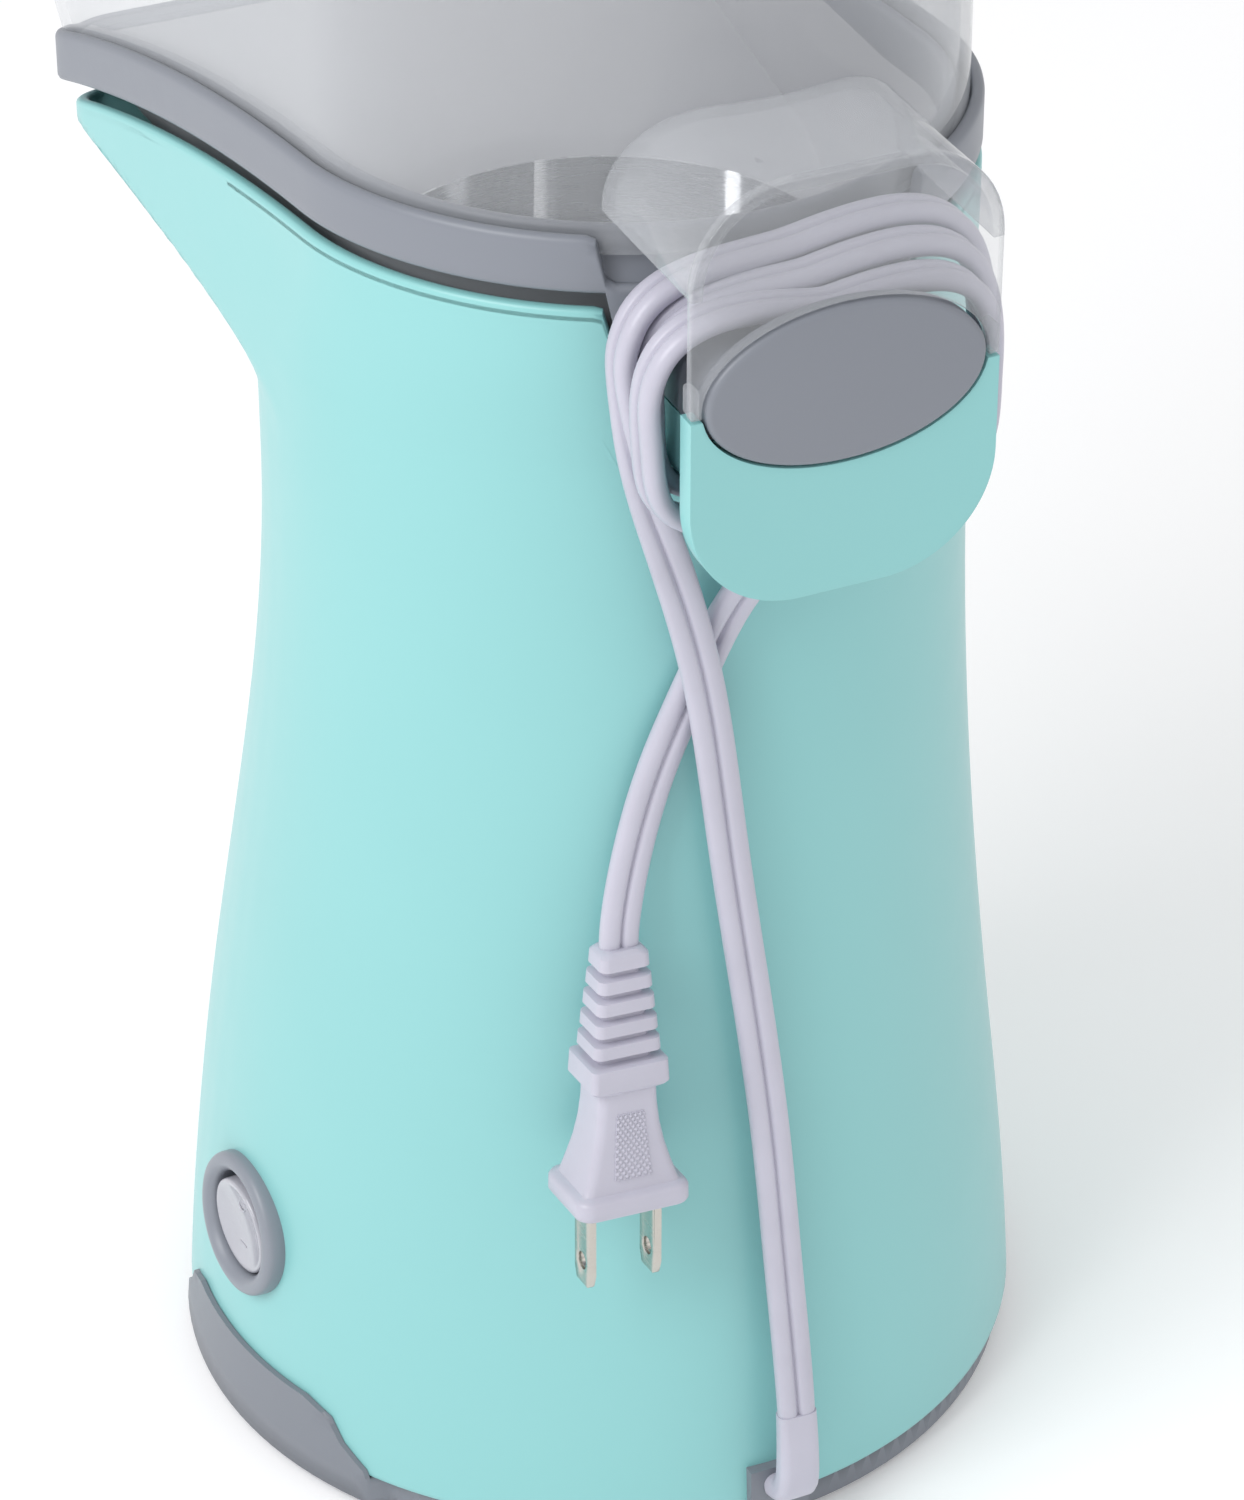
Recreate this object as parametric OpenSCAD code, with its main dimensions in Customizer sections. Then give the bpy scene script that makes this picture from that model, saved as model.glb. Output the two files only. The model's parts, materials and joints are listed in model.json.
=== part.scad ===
// Hot-air popcorn maker. +Z up, spout towards -Y, cord wrap towards +Y, floor at z = 0.

/* [Body] */
// Radius of the housing at its bottom edge
base_r = 80.5; // [70:0.5:98]
// Radius of the housing at the waist
waist_r = 62.6; // [60:0.2:72]
// Height of the waist above the floor
waist_z = 200; // [190:1:230]
// Height of the rim at the back
rim_z = 272; // [265:1:285]
// How far the rim drops from the back to the spout lip
rim_drop = 30; // [20:1:36]
// Reach of the spout lip in front of the centre line
lip_reach = 112; // [95:1:130]
// Half width of the spout at the lip
lip_half_w = 65.5; // [63:0.5:76]
// Wall of the housing
wall_t = 2.5; // [2:0.1:3]
// Forward lean of the belly
belly_lean = 2.5; // [0:0.1:4]
// Backward lean of the waist
waist_lean = 5; // [2:0.1:6]

/* [Collar] */
// Height of the gray rim band
band_h = 10; // [8:0.5:12]
// Shadow gap under the band
band_gap = 3; // [2:0.1:4]
// Width of the rim from its outer to its inner face
rim_w = 7; // [6.6:0.1:8]
// Wall of the chute liner
liner_t = 2.2; // [1.8:0.1:3]
// Depth of the groove that holds the cover
groove_d = 4.5; // [3:0.1:6]
// Distance from the outer face to the groove
groove_in = 2.2; // [1.8:0.1:2.4]

/* [Clear cover] */
// Wall of the clear cover
cover_t = 2; // [1.6:0.1:2.4]
// Clearance between the cover and its groove
cover_gap = 0.3; // [0.2:0.05:0.5]
// Height of the cover's flat top
cover_top_z = 392; // [370:1:420]
// Height where the cover starts to round over
cover_dome_z = 322; // [310:1:340]
// Reach of the cover's mouth in front of the centre line
mouth_reach = 128; // [116:1:145]
// Radius of the hole that holds the cup
cup_hole_r = 43; // [34:0.5:44]
// How far the rear hood and the flap stand behind the waist
hood_reach = 27.4; // [25.4:0.2:40]

/* [Cup] */
// Depth of the measuring cup
cup_d = 34; // [24:1:40]
// Wall of the measuring cup
cup_t = 1.8; // [1.4:0.1:2.4]
// Clearance of the cup in its hole
cup_gap = 0.5; // [0.3:0.1:1]

/* [Cord wrap] */
// Half width of the wrap post
post_half_w = 23; // [18:0.5:24]
// Height of the seam between the two halves of the post
post_seam_z = 248; // [246:0.5:250]
// Height of the post above its seam
post_up = 14; // [10:0.5:16]
// Depth of the post below its seam
post_down = 16; // [12:0.5:18]
// Half width of the end flange
flange_half_w = 27.5; // [26:0.5:30]
// Thickness of the end flange
flange_t = 4; // [3:0.5:5]
// Half width of the oval cap
oval_a = 25; // [20:0.5:26]
// Half height of the oval cap
oval_b = 14.2; // [10:0.2:15]

/* [Popping chamber] */
// Inner radius of the popping chamber
chamber_r = 45; // [38:0.5:46]
// Height of the chamber floor
chamber_z = 150; // [145:1:158]
// Sheet thickness of the chamber
chamber_t = 1; // [0.8:0.1:1.5]
// Number of air louvres round the chamber
louvre_n = 16; // [10:1:20]
// Inner radius of the air sleeve
sleeve_r = 52; // [50.5:0.5:53]
// Thickness of the air sleeve
sleeve_t = 1.2; // [1:0.1:1.5]
// Offset of the air path's axis from the origin
core_y = 1.5; // [0:0.5:3]

/* [Fan and motor] */
// Radius of the motor can
motor_r = 19; // [16:0.5:21]
// Length of the motor can
motor_h = 44; // [36:1:46]
// Height of the fan housing's floor
fan_z = 80; // [78:1:84]
// Height of the fan housing
fan_h = 34; // [32:1:36]
// Outer radius of the fan
fan_r = 44; // [38:0.5:46]
// Radius of the motor shaft
shaft_r = 1.6; // [1.2:0.1:2]
// Number of fan blades
blade_n = 10; // [6:1:14]

/* [Switch] */
// Height of the switch centre
switch_z = 45.5; // [40:0.5:52]
// Outer radius of the switch ring
switch_r = 14; // [13:0.5:16]
// Radius of the rocker
rocker_r = 9.4; // [8:0.1:10.4]
// Direction of the switch, from the back towards the side
switch_az = 84; // [78:1:96]
// Clearance round the rocker
rocker_gap = 0.9; // [0.8:0.1:1.2]
// Tilt of the rocker at each end of its travel
rocker_tilt = 6; // [4:0.5:7]

/* [Base] */
// Height of the housing's bottom edge
skirt_z = 7.2; // [6:0.2:9]
// Height of the rubber feet
foot_h = 2; // [1.5:0.1:3]
// Radius of the rubber feet
foot_r = 7; // [5:0.5:9]
// Thickness of the base floor
floor_t = 3; // [2.5:0.1:4]
// Height of the raised side panel
panel_h = 19.5; // [16:0.5:24]

/* [Plug] */
// Spacing of the plug's blades
blade_pitch = 12.7; // [12.7:0.1:12.7]
// Width of a plug blade
blade_w = 6.35; // [6.35:0.05:6.35]
// Thickness of a plug blade
blade_t = 1.5; // [1.5:0.1:1.5]
// Length of a plug blade outside its flange
blade_l = 16.5; // [16:0.1:18]
// Width of the plug's flange
plug_w = 21.8; // [20:0.1:24]
// Depth of the plug's flange
plug_d = 16.8; // [14:0.1:17]

/* [Hidden] */
$fn = 64;
CORNER_STEPS = 5;
REAR_STEPS = 18;
OPEN_FRONT = 170;
aqua = [0.62, 0.88, 0.87];
gray = [0.58, 0.61, 0.67];
cord_white = [0.84, 0.83, 0.88];
steel = [0.75, 0.76, 0.78];
rear_reach = waist_r + waist_lean + hood_reach;
flange_y = rear_reach - flange_t;
fuse_r = chamber_r - 17.8;
oval_z = post_seam_z + 7.5;
cover_in = groove_in + cover_gap;
groove_w = cover_t + 2 * cover_gap;
chamber_top = chamber_z + 79;
fan_top = fan_z + fan_h;
heater_z = fan_top + 3;
motor_z = fan_z - motor_h;
base_y = -belly_lean;
boss_r = base_r - 13;
shoulder = lip_reach - 16;

// Smooth step from 0 to 1.
function smooth(t) = let(c = min(1, max(0, t))) c * c * (3 - 2 * c);
// Linear blend from a to b.
function mix(a, b, t) = a + (b - a) * t;
// Radius of the round body at a height, up to the waist.
function body_r(z) = let(t = min(1, max(0, (waist_z - z) / (waist_z - skirt_z))))
    mix(waist_r, base_r, 0.7 * smooth(t) + 0.3 * t * t);
// Forward or backward shift of the round body's centre at a height.
function body_y(z) = mix(-belly_lean, waist_lean, smooth((z - 60) / (waist_z - 65)));
// Height of the rim over a place along Y.
function rim_top(y) = rim_z - rim_drop * pow(max(0, (72 - y) / (72 + lip_reach - 7)), 2.2);
// Height of the housing's top edge over a place along Y.
function edge_top(y) = rim_top(y) - band_h - band_gap;
// How far the section has grown from the round waist to the full spout, 0 to 1.
function spout_t(z) = min(1, max(0, (z - waist_z - 5) / (rim_z - rim_drop - 12 - waist_z - 5)));
// Points of an arc in the plane.
function arc(x, y, r, a0, a1, n) = [for (i = [0:n]) let(a = mix(a0, a1, i / n))
    [x + r * cos(a), y + r * sin(a)]];
// Closed outline: a rear arc, sides that taper from a shoulder, and two front corners.
function outline(wf, wr, reach, yc, rc) = let(c = min(rc, wf - 1), ys = max(-shoulder, -reach + c + 0.8))
    concat(arc(wf - c, -reach + c, c, -90, -2, CORNER_STEPS), [[wf, ys]],
    arc(0, yc, wr, 3, 177, REAR_STEPS), [[-wf, ys]],
    arc(-wf + c, -reach + c, c, 182, 270, CORNER_STEPS));
// Section of the outer shape at a height, moved inwards by d, with a chosen front reach.
function section(z, d, reach) = let(t = spout_t(z), r = body_r(z), yc = body_y(z),
    wr = mix(r, min(r, waist_r) - 1.6, smooth((z - 225) / 25)),
    wf = mix(r, lip_half_w, pow(t, 4)),
    full = mix(r - yc, reach, pow(t, 5)),
    back = mix(yc, yc + 4.5, smooth((z - 225) / 25)))
    outline(wf - d, wr - d, full - d, back, mix(r, 15, pow(t, 4)) - d * 0.8);
// Section of the chute liner's inner face at a height.
function liner_section(z, d) = let(t = (z - chamber_top) / (rim_z - 8 - chamber_top),
    s = smooth(pow(max(0, t), 0.7)), r = chamber_r - 0.5,
    wr = mix(r, waist_r - 1.6 - rim_w, s), wf = mix(r, lip_half_w - rim_w, smooth(t * 3.2)),
    reach = mix(r - core_y, OPEN_FRONT, pow(min(1, max(0, t * 2.65)), 2.5)),
    back = mix(core_y, waist_lean + 4.5, s))
    outline(wf + d, wr + d, reach + d, back, mix(r, 12, smooth(t * 3)) + d);

// Solid through a stack of outlines that all have the same number of points.
module loft(rings, heights) {
    n = len(rings[0]);
    m = len(rings);
    pts = [for (k = [0:m - 1]) for (p = rings[k]) [p[0], p[1], heights[k]]];
    sides = [for (k = [0:m - 2]) for (i = [0:n - 1]) let(j = (i + 1) % n)
        [k * n + i, (k + 1) * n + i, (k + 1) * n + j, k * n + j]];
    lid = [for (i = [n - 1:-1:0]) (m - 1) * n + i];
    polyhedron(pts, concat([[for (i = [0:n - 1]) i]], sides, [lid]), convexity = 10);
}

// Outer shape moved inwards by d between two heights; lift raises the floor of the spout.
module shape(d, z0, z1, reach, lift = 0) {
    zs = concat([z0], [for (z = [25, 50, 75, 100, 125, 150, 170, 188, 202, 212, 217, 220.5, 223, 225,
        226.6, 228, 229, 230, 232.3, 238, 250]) if (z > z0 + 0.5 && z < z1 - 0.5) z], [z1]);
    loft([for (z = zs) section(z - lift * smooth((z - waist_z) / 10), d, reach)], zs);
}

// Slab across X whose lower and upper edges follow the rim, shifted by lo and hi.
module rim_slab(lo, hi) {
    ys = [for (y = [-lip_reach - 25:12:92]) y];
    rotate([90, 0, 90]) linear_extrude(height = 300, center = true)
        polygon(concat([for (y = ys) [y, rim_top(y) + lo]],
            [for (i = [len(ys) - 1:-1:0]) [ys[i], rim_top(ys[i]) + hi]]));
}

// Everything under the rim line shifted by hi.
module under_rim(hi) {
    ys = [for (y = [-lip_reach - 25:12:92]) y];
    rotate([90, 0, 90]) linear_extrude(height = 300, center = true)
        polygon(concat([[-lip_reach - 25, -5], [92, -5]],
            [for (i = [len(ys) - 1:-1:0]) [ys[i], rim_top(ys[i]) + hi]]));
}

// Places children on the wall at a height and direction, with local +Z pointing outwards.
module on_wall(z, az) {
    r = body_r(z);
    tilt = atan((body_r(z - 8) - body_r(z + 8)) / 16);
    translate([r * sin(az), body_y(z) + r * cos(az), z]) rotate([0, 90 - tilt, 90 - az]) children();
}

// Extrudes an outline in the XZ plane from y0 to y1.
module along_y(y0, y1) {
    translate([0, y1, 0]) rotate([90, 0, 0]) linear_extrude(height = y1 - y0) children();
}

// Oval in the XZ plane.
module oval(a, b) {
    polygon([for (i = [0:59]) [a * cos(i * 6), oval_z + b * sin(i * 6)]]);
}

// Copies children at n places on a circle.
module around(n, r, a0 = 0) {
    for (i = [0:n - 1]) rotate([0, 0, a0 + i * 360 / n]) translate([r, 0, 0]) children();
}

module housing() {
    color(aqua) difference() {
        union() {
            intersection() {
                shape(0, skirt_z, edge_top(70) + 4, lip_reach - 10);
                under_rim(-band_h - band_gap);
            }
            along_y(body_y(post_seam_z) + 50, flange_y + 0.5) post_outline(-post_down, 0);
            flap();
        }
        difference() {
            shape(wall_t, skirt_z - 1, rim_z + 5, lip_reach - 10, 2.2);
            // four screw bosses, each joined to the wall by a rib
            translate([0, base_y, 0]) around(4, boss_r, 45) {
                cylinder(r = 5, h = 30);
                translate([0, -1.2, 0]) cube([20, 2.4, 28]);
            }
        }
        translate([0, base_y, -1]) around(4, boss_r, 45) cylinder(r = 1.5, h = 26);
        along_y(body_y(post_seam_z) + 49, flange_y - 1) offset_post(-post_down, 0);
        along_y(flange_y, rear_reach + 1) oval(oval_a + 0.5, oval_b + 0.5);
        translate([-post_half_w - 3, 30, post_seam_z + 0.2]) cube([post_half_w * 2 + 6, 55, 60]);
        on_wall(switch_z, switch_az) {
            translate([0, 0, -12]) cylinder(r = switch_r - 1.1, h = 20);
            translate([0, 0, -1.6]) cylinder(r = switch_r + 0.2, h = 10);
        }
        translate([-6.2, base_y + base_r - 12, skirt_z - 2]) cube([12.4, 24, 11.2]);
    }
}

// Outline of one half of the wrap post, from the seam to its rounded side.
module post_outline(lo, hi) {
    w = post_half_w;
    z0 = post_seam_z + lo;
    z1 = post_seam_z + hi;
    rl = lo < 0 ? 7 : 0.01;
    ru = hi > 0 ? 9 : 0.01;
    polygon(concat(arc(w - ru, z1 - ru, ru, 0, 90, 6), arc(-w + ru, z1 - ru, ru, 90, 180, 6),
        arc(-w + rl, z0 + rl, rl, 180, 270, 6), arc(w - rl, z0 + rl, rl, 270, 360, 6)));
}

// Hollow inside one half of the wrap post.
module offset_post(lo, hi) {
    w = post_half_w - liner_t;
    z0 = post_seam_z + lo + (lo < 0 ? liner_t : -1);
    z1 = post_seam_z + hi + (hi > 0 ? -liner_t : 1);
    rl = lo < 0 ? 5 : 0.01;
    ru = hi > 0 ? 7 : 0.01;
    polygon(concat(arc(w - ru, z1 - ru, ru, 0, 90, 6), arc(-w + ru, z1 - ru, ru, 90, 180, 6),
        arc(-w + rl, z0 + rl, rl, 180, 270, 6), arc(w - rl, z0 + rl, rl, 270, 360, 6)));
}

// Tongue-shaped flap that keeps the wound cord on the post.
module flap() {
    low = oval_z - oval_b - 24.3;
    r = 20;
    difference() {
        along_y(flange_y, rear_reach) polygon(concat(
            arc(flange_half_w - r, low + r, r, 360, 270, 8),
            arc(-flange_half_w + r, low + r, r, 270, 180, 8),
            [[-flange_half_w, oval_z - 1.5], [flange_half_w, oval_z - 1.5]]));
        along_y(flange_y - 1, rear_reach + 1) oval(oval_a + 0.5, oval_b + 0.5);
    }
}

module base() {
    color(gray) difference() {
        union() {
            translate([0, base_y, foot_h - 0.6]) cylinder(r = base_r - 1.6, h = skirt_z - foot_h + 0.4);
            translate([0, base_y, skirt_z - 0.3]) cylinder(r = base_r - wall_t - 1, h = 4.5);
            side_panel();
            translate([0, base_y, foot_h]) around(4, boss_r, 45) cylinder(r = 5, h = skirt_z - foot_h - 0.2);
            // posts that carry the fan housing
            translate([0, core_y, 0]) around(3, sleeve_r - 6, 30)
                translate([0, 0, foot_h + 1]) cylinder(r = 4, h = fan_z - foot_h - 1);
        }
        difference() {
            translate([0, base_y, foot_h + floor_t - 0.6])
                cylinder(r = base_r - wall_t - 3.4, h = 60);
            translate([0, base_y, 0]) around(4, boss_r, 45) cylinder(r = 5, h = skirt_z - 0.2);
            translate([0, core_y, 0]) around(3, sleeve_r - 6, 30) cylinder(r = 4, h = fan_z);
        }
        translate([0, base_y, -1]) around(4, boss_r, 45) {
            cylinder(r = 1.9, h = 20);
            cylinder(r = 3.6, h = foot_h + 2);
        }
        translate([0, core_y, 0]) around(3, sleeve_r - 6, 30)
            translate([0, 0, fan_z - 14]) cylinder(r = 1.2, h = 20);
        translate([0, base_y, -1]) around(4, base_r - 20) cylinder(r = foot_r + 0.1, h = foot_h + 1);
        // air inlet slots
        for (x = [-30:7.5:30]) translate([x - 1.6, base_y - sqrt(38 * 38 - x * x), -1])
            cube([3.2, 2 * sqrt(38 * 38 - x * x), 20]);
        translate([-6.2, base_y + base_r - 14, skirt_z - 2]) cube([12.4, 30, 20]);
        // room for the housing's bosses and ribs
        translate([0, base_y, skirt_z]) around(4, boss_r, 45) {
            cylinder(r = 5.15, h = 10);
            translate([0, -1.35, 0]) cube([boss_r, 2.7, 10]);
        }
    }
}

// Raised gray panel on the side of the base, under the switch.
module side_panel() {
    half = 20;
    az = 90 - switch_az;
    intersection() {
        translate([0, base_y, 0]) difference() {
            rotate_extrude() polygon([[body_r(14) - 8, foot_h], [base_r + 1.2, foot_h],
                [body_r(panel_h) + 1.2, panel_h], [body_r(panel_h) + 0.15, panel_h],
                [base_r + 0.15, skirt_z - 0.1], [body_r(14) - 8, skirt_z - 0.1]]);
        }
        rotate([0, 0, az]) rotate([90, 0, 90]) linear_extrude(height = 200)
            polygon([[-half * 1.85, foot_h - 1], [half * 1.85, foot_h - 1], [half * 1.7, 9],
                [half * 1.45, 13], [half * 1.3, panel_h - 2], [half, panel_h],
                [-half, panel_h], [-half * 1.3, panel_h - 2], [-half * 1.45, 13], [-half * 1.7, 9]]);
    }
}

module foot_pads() {
    color([0.2, 0.2, 0.22]) translate([0, base_y, 0]) around(4, base_r - 20) {
        cylinder(r1 = foot_r - 1, r2 = foot_r, h = 1);
        translate([0, 0, 1]) cylinder(r = foot_r, h = foot_h - 1);
    }
}

module base_screws() {
    color(steel) translate([0, base_y, foot_h + 1]) around(4, boss_r, 45) screw(3.2, 1.9, 1.45, 20);
}

// Screw pointing up, with its head at the bottom and a cross slot.
module screw(head_r, head_h, r, len) {
    difference() {
        union() {
            translate([0, 0, -head_h]) cylinder(r = head_r, h = head_h);
            translate([0, 0, -0.1]) cylinder(r = r, h = len);
        }
        for (a = [0, 90]) rotate([0, 0, a]) translate([-head_r * 0.6, -0.4, -head_h - 1])
            cube([head_r * 1.2, 0.8, 2]);
    }
}

module chute_collar() {
    color(gray) union() {
        difference() {
            intersection() {
                difference() {
                    shape(0, 215, rim_z + 4, lip_reach);
                    shape(rim_w, 210, rim_z + 6, OPEN_FRONT);
                }
                rim_slab(-band_h, 0);
            }
            intersection() {
                difference() {
                    shape(groove_in, 212, rim_z + 6, OPEN_FRONT);
                    shape(groove_in + groove_w, 210, rim_z + 8, OPEN_FRONT);
                }
                rim_slab(-groove_d, 10);
            }
            // the outer lip is low behind the wrap post
            difference() {
                translate([-post_half_w - 5, 20, rim_z - 9]) cube([post_half_w * 2 + 10, 80, 20]);
                shape(groove_in, 212, rim_z + 16, lip_reach);
            }
        }
        chute_liner();
        wrap_tongue();
    }
}

// Thin funnel from the popping chamber to the rim and the spout lip.
module chute_liner() {
    z0 = chamber_top + 0.3;
    zs = [for (t = [0, 0.03, 0.08, 0.14, 0.2, 0.26, 0.32, 0.37, 0.5, 0.75, 1, 1.3]) mix(chamber_top,
        rim_z - 8, t)];
    intersection() {
        difference() {
            loft([for (z = zs) liner_section(z, liner_t)], [for (z = zs) z - (z > rim_z - 2 ? 0 : liner_t)]);
            loft([for (z = zs) liner_section(z, 0)], [for (z = zs) z + (z < z0 ? -5 : 0)]);
        }
        under_rim(-1);
        difference() {
            translate([-100, -lip_reach, z0 - 0.2]) cube([200, 250, 100]);
            translate([0, core_y, 0]) around(3, sleeve_r - 4, 90)
                translate([0, 0, chamber_top - 2]) cylinder(r = 1.25, h = 4.6);
        }
    }
    // downturned lip
    translate([-lip_half_w + 2.5, -lip_reach, rim_z - rim_drop - 9.5])
        cube([lip_half_w * 2 - 5, 2.4, 8]);
}

// Upper half of the wrap post, its oval cap and the wall it grows from.
module wrap_tongue() {
    difference() {
        union() {
            along_y(body_y(post_seam_z) + 52, flange_y + 0.5)
                translate([0, 0.3]) post_outline(0, post_up);
            along_y(flange_y, rear_reach + 0.6) oval(oval_a, oval_b);
            intersection() {
                shape(0.1, post_seam_z + 0.4, rim_z - 9, lip_reach);
                translate([-post_half_w - 2.8, 30, 0]) cube([post_half_w * 2 + 5.6, 90, rim_z]);
            }
        }
        shape(liner_t + 0.3, post_seam_z - 4, rim_z + 4, lip_reach);
        along_y(body_y(post_seam_z) + 49, flange_y - 1) offset_post(0, post_up);
    }
}

module popping_chamber() {
    z = chamber_z;
    r = chamber_r;
    t = chamber_t;
    color(steel) translate([0, core_y, 0]) difference() {
        rotate_extrude() polygon([[0, z + 8], [r - 22, z + 4], [r - 8, z], [r, z + 6], [r, chamber_top - t],
            [sleeve_r - 1, chamber_top - t], [sleeve_r - 1, chamber_top], [r - t, chamber_top],
            [r - t, z + 6.5], [r - 8, z + t], [r - 22, z + 4 + t], [0, z + 8 + t]]);
        for (i = [0:louvre_n - 1]) rotate([0, 0, i * 360 / louvre_n])
            translate([r - 6, 0, z + 15]) rotate([38, 0, 0]) cube([16, 1.6, 13], center = true);
        around(3, sleeve_r - 4, 90) translate([0, 0, chamber_top - 5]) cylinder(r = 1.3, h = 10);
    }
}

module chamber_screws() {
    color(steel) translate([0, core_y, 0]) around(3, sleeve_r - 4, 90)
        translate([0, 0, chamber_top - 1.1]) screw(2.4, 1.4, 1.2, 3.4);
}

module air_sleeve() {
    color([0.7, 0.71, 0.72]) translate([0, core_y, 0]) difference() {
        rotate_extrude() polygon([[sleeve_r, fan_top + 0.05], [sleeve_r + sleeve_t, fan_top + 0.05],
            [sleeve_r + sleeve_t, chamber_top - 0.6], [sleeve_r, chamber_top - 0.6]]);
        // window for the heater leads
        rotate([0, 0, 70]) translate([sleeve_r - 4, -5, heater_z + 2]) cube([10, 10, 9]);
    }
}

module heat_shield() {
    color([0.82, 0.78, 0.68]) translate([0, core_y, heater_z - 2.6]) difference() {
        cylinder(r = sleeve_r - 0.2, h = 1.2);
        translate([0, 0, -1]) cylinder(r = 17, h = 4);
        around(8, 34, 22.5) translate([0, 0, -1]) cylinder(r = 8, h = 4);
    }
}

module heater_frame() {
    color([0.85, 0.8, 0.68]) translate([0, core_y, heater_z - 1.3]) difference() {
        union() {
            translate([-sleeve_r + 1, -1, 0]) cube([sleeve_r * 2 - 2, 2, 26]);
            translate([-1, -sleeve_r + 1, 0]) cube([2, sleeve_r * 2 - 2, 26]);
        }
        for (r = [24, 33, 42]) translate([0, 0, 14]) rotate_extrude() translate([r, 0]) circle(r = 3.4, $fn = 24);
        translate([0, 0, 6]) rotate_extrude() translate([14, 0]) circle(r = 2.4, $fn = 24);
        translate([0, 0, 20]) cylinder(r = 12, h = 8);
    }
}

// Coiled resistance wire laid in rings; each ring is a closed bundle.
module main_heater_coil() {
    color([0.45, 0.43, 0.42]) translate([0, core_y, heater_z + 12.7]) {
        for (r = [24, 33, 42]) rotate_extrude() translate([r, 0]) circle(r = 3, $fn = 24);
        rotate([0, 0, 20]) translate([23, -1, -1]) cube([20, 2, 2]);
    }
}

module dropper_coil() {
    color([0.5, 0.48, 0.46]) translate([0, core_y, heater_z + 4.7])
        rotate_extrude() translate([14, 0]) circle(r = 2, $fn = 24);
}

module thermostat() {
    color([0.3, 0.3, 0.32]) translate([0, core_y, chamber_z - 8]) {
        cylinder(r = 8, h = 5);
        translate([0, 0, 4.9]) cylinder(r = 6.5, h = 8);
        for (x = [-5, 5]) translate([x - 0.4, -3, -6]) cube([0.8, 6, 6.1]);
    }
}

module thermal_fuse() {
    color([0.85, 0.85, 0.8]) translate([fuse_r * 0.8088, core_y + fuse_r * 0.5882, chamber_z - 5.2]) {
        rotate([0, 90, 45]) cylinder(r = 2, h = 11, center = true);
        rotate([0, 90, 45]) cylinder(r = 0.5, h = 22, center = true);
        translate([-1.5, -1.5, -0.5]) cube([3, 3, 7.5]);
    }
}

module fan_housing() {
    color([0.25, 0.26, 0.28]) translate([0, core_y, 0]) difference() {
        rotate_extrude() polygon([[0, fan_z], [sleeve_r - 1, fan_z], [sleeve_r + sleeve_t + 1.6, fan_z + 3],
            [sleeve_r + sleeve_t + 1.6, fan_top + 5], [sleeve_r + sleeve_t + 0.1, fan_top + 5],
            [sleeve_r + sleeve_t + 0.1, fan_top], [sleeve_r - 1.5, fan_top],
            [sleeve_r - 1.5, fan_z + 2.5], [0, fan_z + 2.5]]);
        translate([0, 0, fan_z - 1]) cylinder(r = 4.2, h = 6);
        // inlet slots round the motor
        for (i = [0:11]) rotate([0, 0, i * 30]) translate([motor_r + 2, -3, fan_z - 1]) cube([13, 6, 6]);
        around(3, sleeve_r - 6, 30) translate([0, 0, fan_z - 1]) cylinder(r = 1.6, h = 6);
        around(2, motor_r - 6, 45) translate([0, 0, fan_z - 1]) cylinder(r = 1.5, h = 6);
    }
}

module fan_housing_screws() {
    color(steel) translate([0, core_y, 0]) around(3, sleeve_r - 6, 30)
        translate([0, 0, fan_z + 2.5]) mirror([0, 0, 1]) screw(2.8, 1.8, 1.15, 12);
}

module fan() {
    hub_z = fan_z + 8;
    color([0.55, 0.57, 0.6]) translate([0, core_y, 0]) difference() {
        union() {
            translate([0, 0, hub_z]) cylinder(r = 7, h = 20);
            translate([0, 0, hub_z + 17]) cylinder(r = fan_r, h = 1.6);
            for (i = [0:blade_n - 1]) rotate([0, 0, i * 360 / blade_n]) translate([14, 0, hub_z + 1])
                rotate([0, 0, 22]) translate([0, -0.7, 0]) cube([fan_r * 0.98 - 15, 1.4, 16.5]);
            difference() {
                translate([0, 0, hub_z]) cylinder(r = fan_r, h = 1.4);
                translate([0, 0, hub_z - 1]) cylinder(r = fan_r - 16, h = 4);
            }
        }
        translate([0, 0, hub_z - 1]) cylinder(r = shaft_r, h = 23);
    }
}

module fan_clip() {
    color(steel) translate([0, core_y, fan_z + 28]) difference() {
        cylinder(r = 4.4, h = 1.2);
        translate([0, 0, -1]) cylinder(r = shaft_r, h = 4);
    }
}

module motor_can() {
    color(steel) translate([0, core_y, 0]) difference() {
        translate([0, 0, motor_z]) cylinder(r = motor_r, h = motor_h - 0.05);
        translate([0, 0, motor_z - 1]) cylinder(r = motor_r - 1.2, h = motor_h - 0.6);
        translate([0, 0, motor_z]) cylinder(r = 3.4, h = motor_h + 2);
        around(2, motor_r - 6, 45) translate([0, 0, fan_z - 3]) cylinder(r = 1.2, h = 6);
        for (a = [0, 180]) rotate([0, 0, a]) translate([motor_r - 3, -4, motor_z + 8]) cube([6, 8, 5]);
    }
}

module motor_end_cap() {
    color([0.15, 0.15, 0.17]) translate([0, core_y, 0]) difference() {
        union() {
            translate([0, 0, motor_z - 4]) cylinder(r = motor_r, h = 4);
            translate([0, 0, motor_z - 0.1]) cylinder(r = motor_r - 1.3, h = 2.6);
            translate([0, 0, motor_z - 6]) cylinder(r = 7, h = 3);
        }
        translate([0, 0, motor_z - 8]) cylinder(r = 3.4, h = 12);
    }
}

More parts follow.
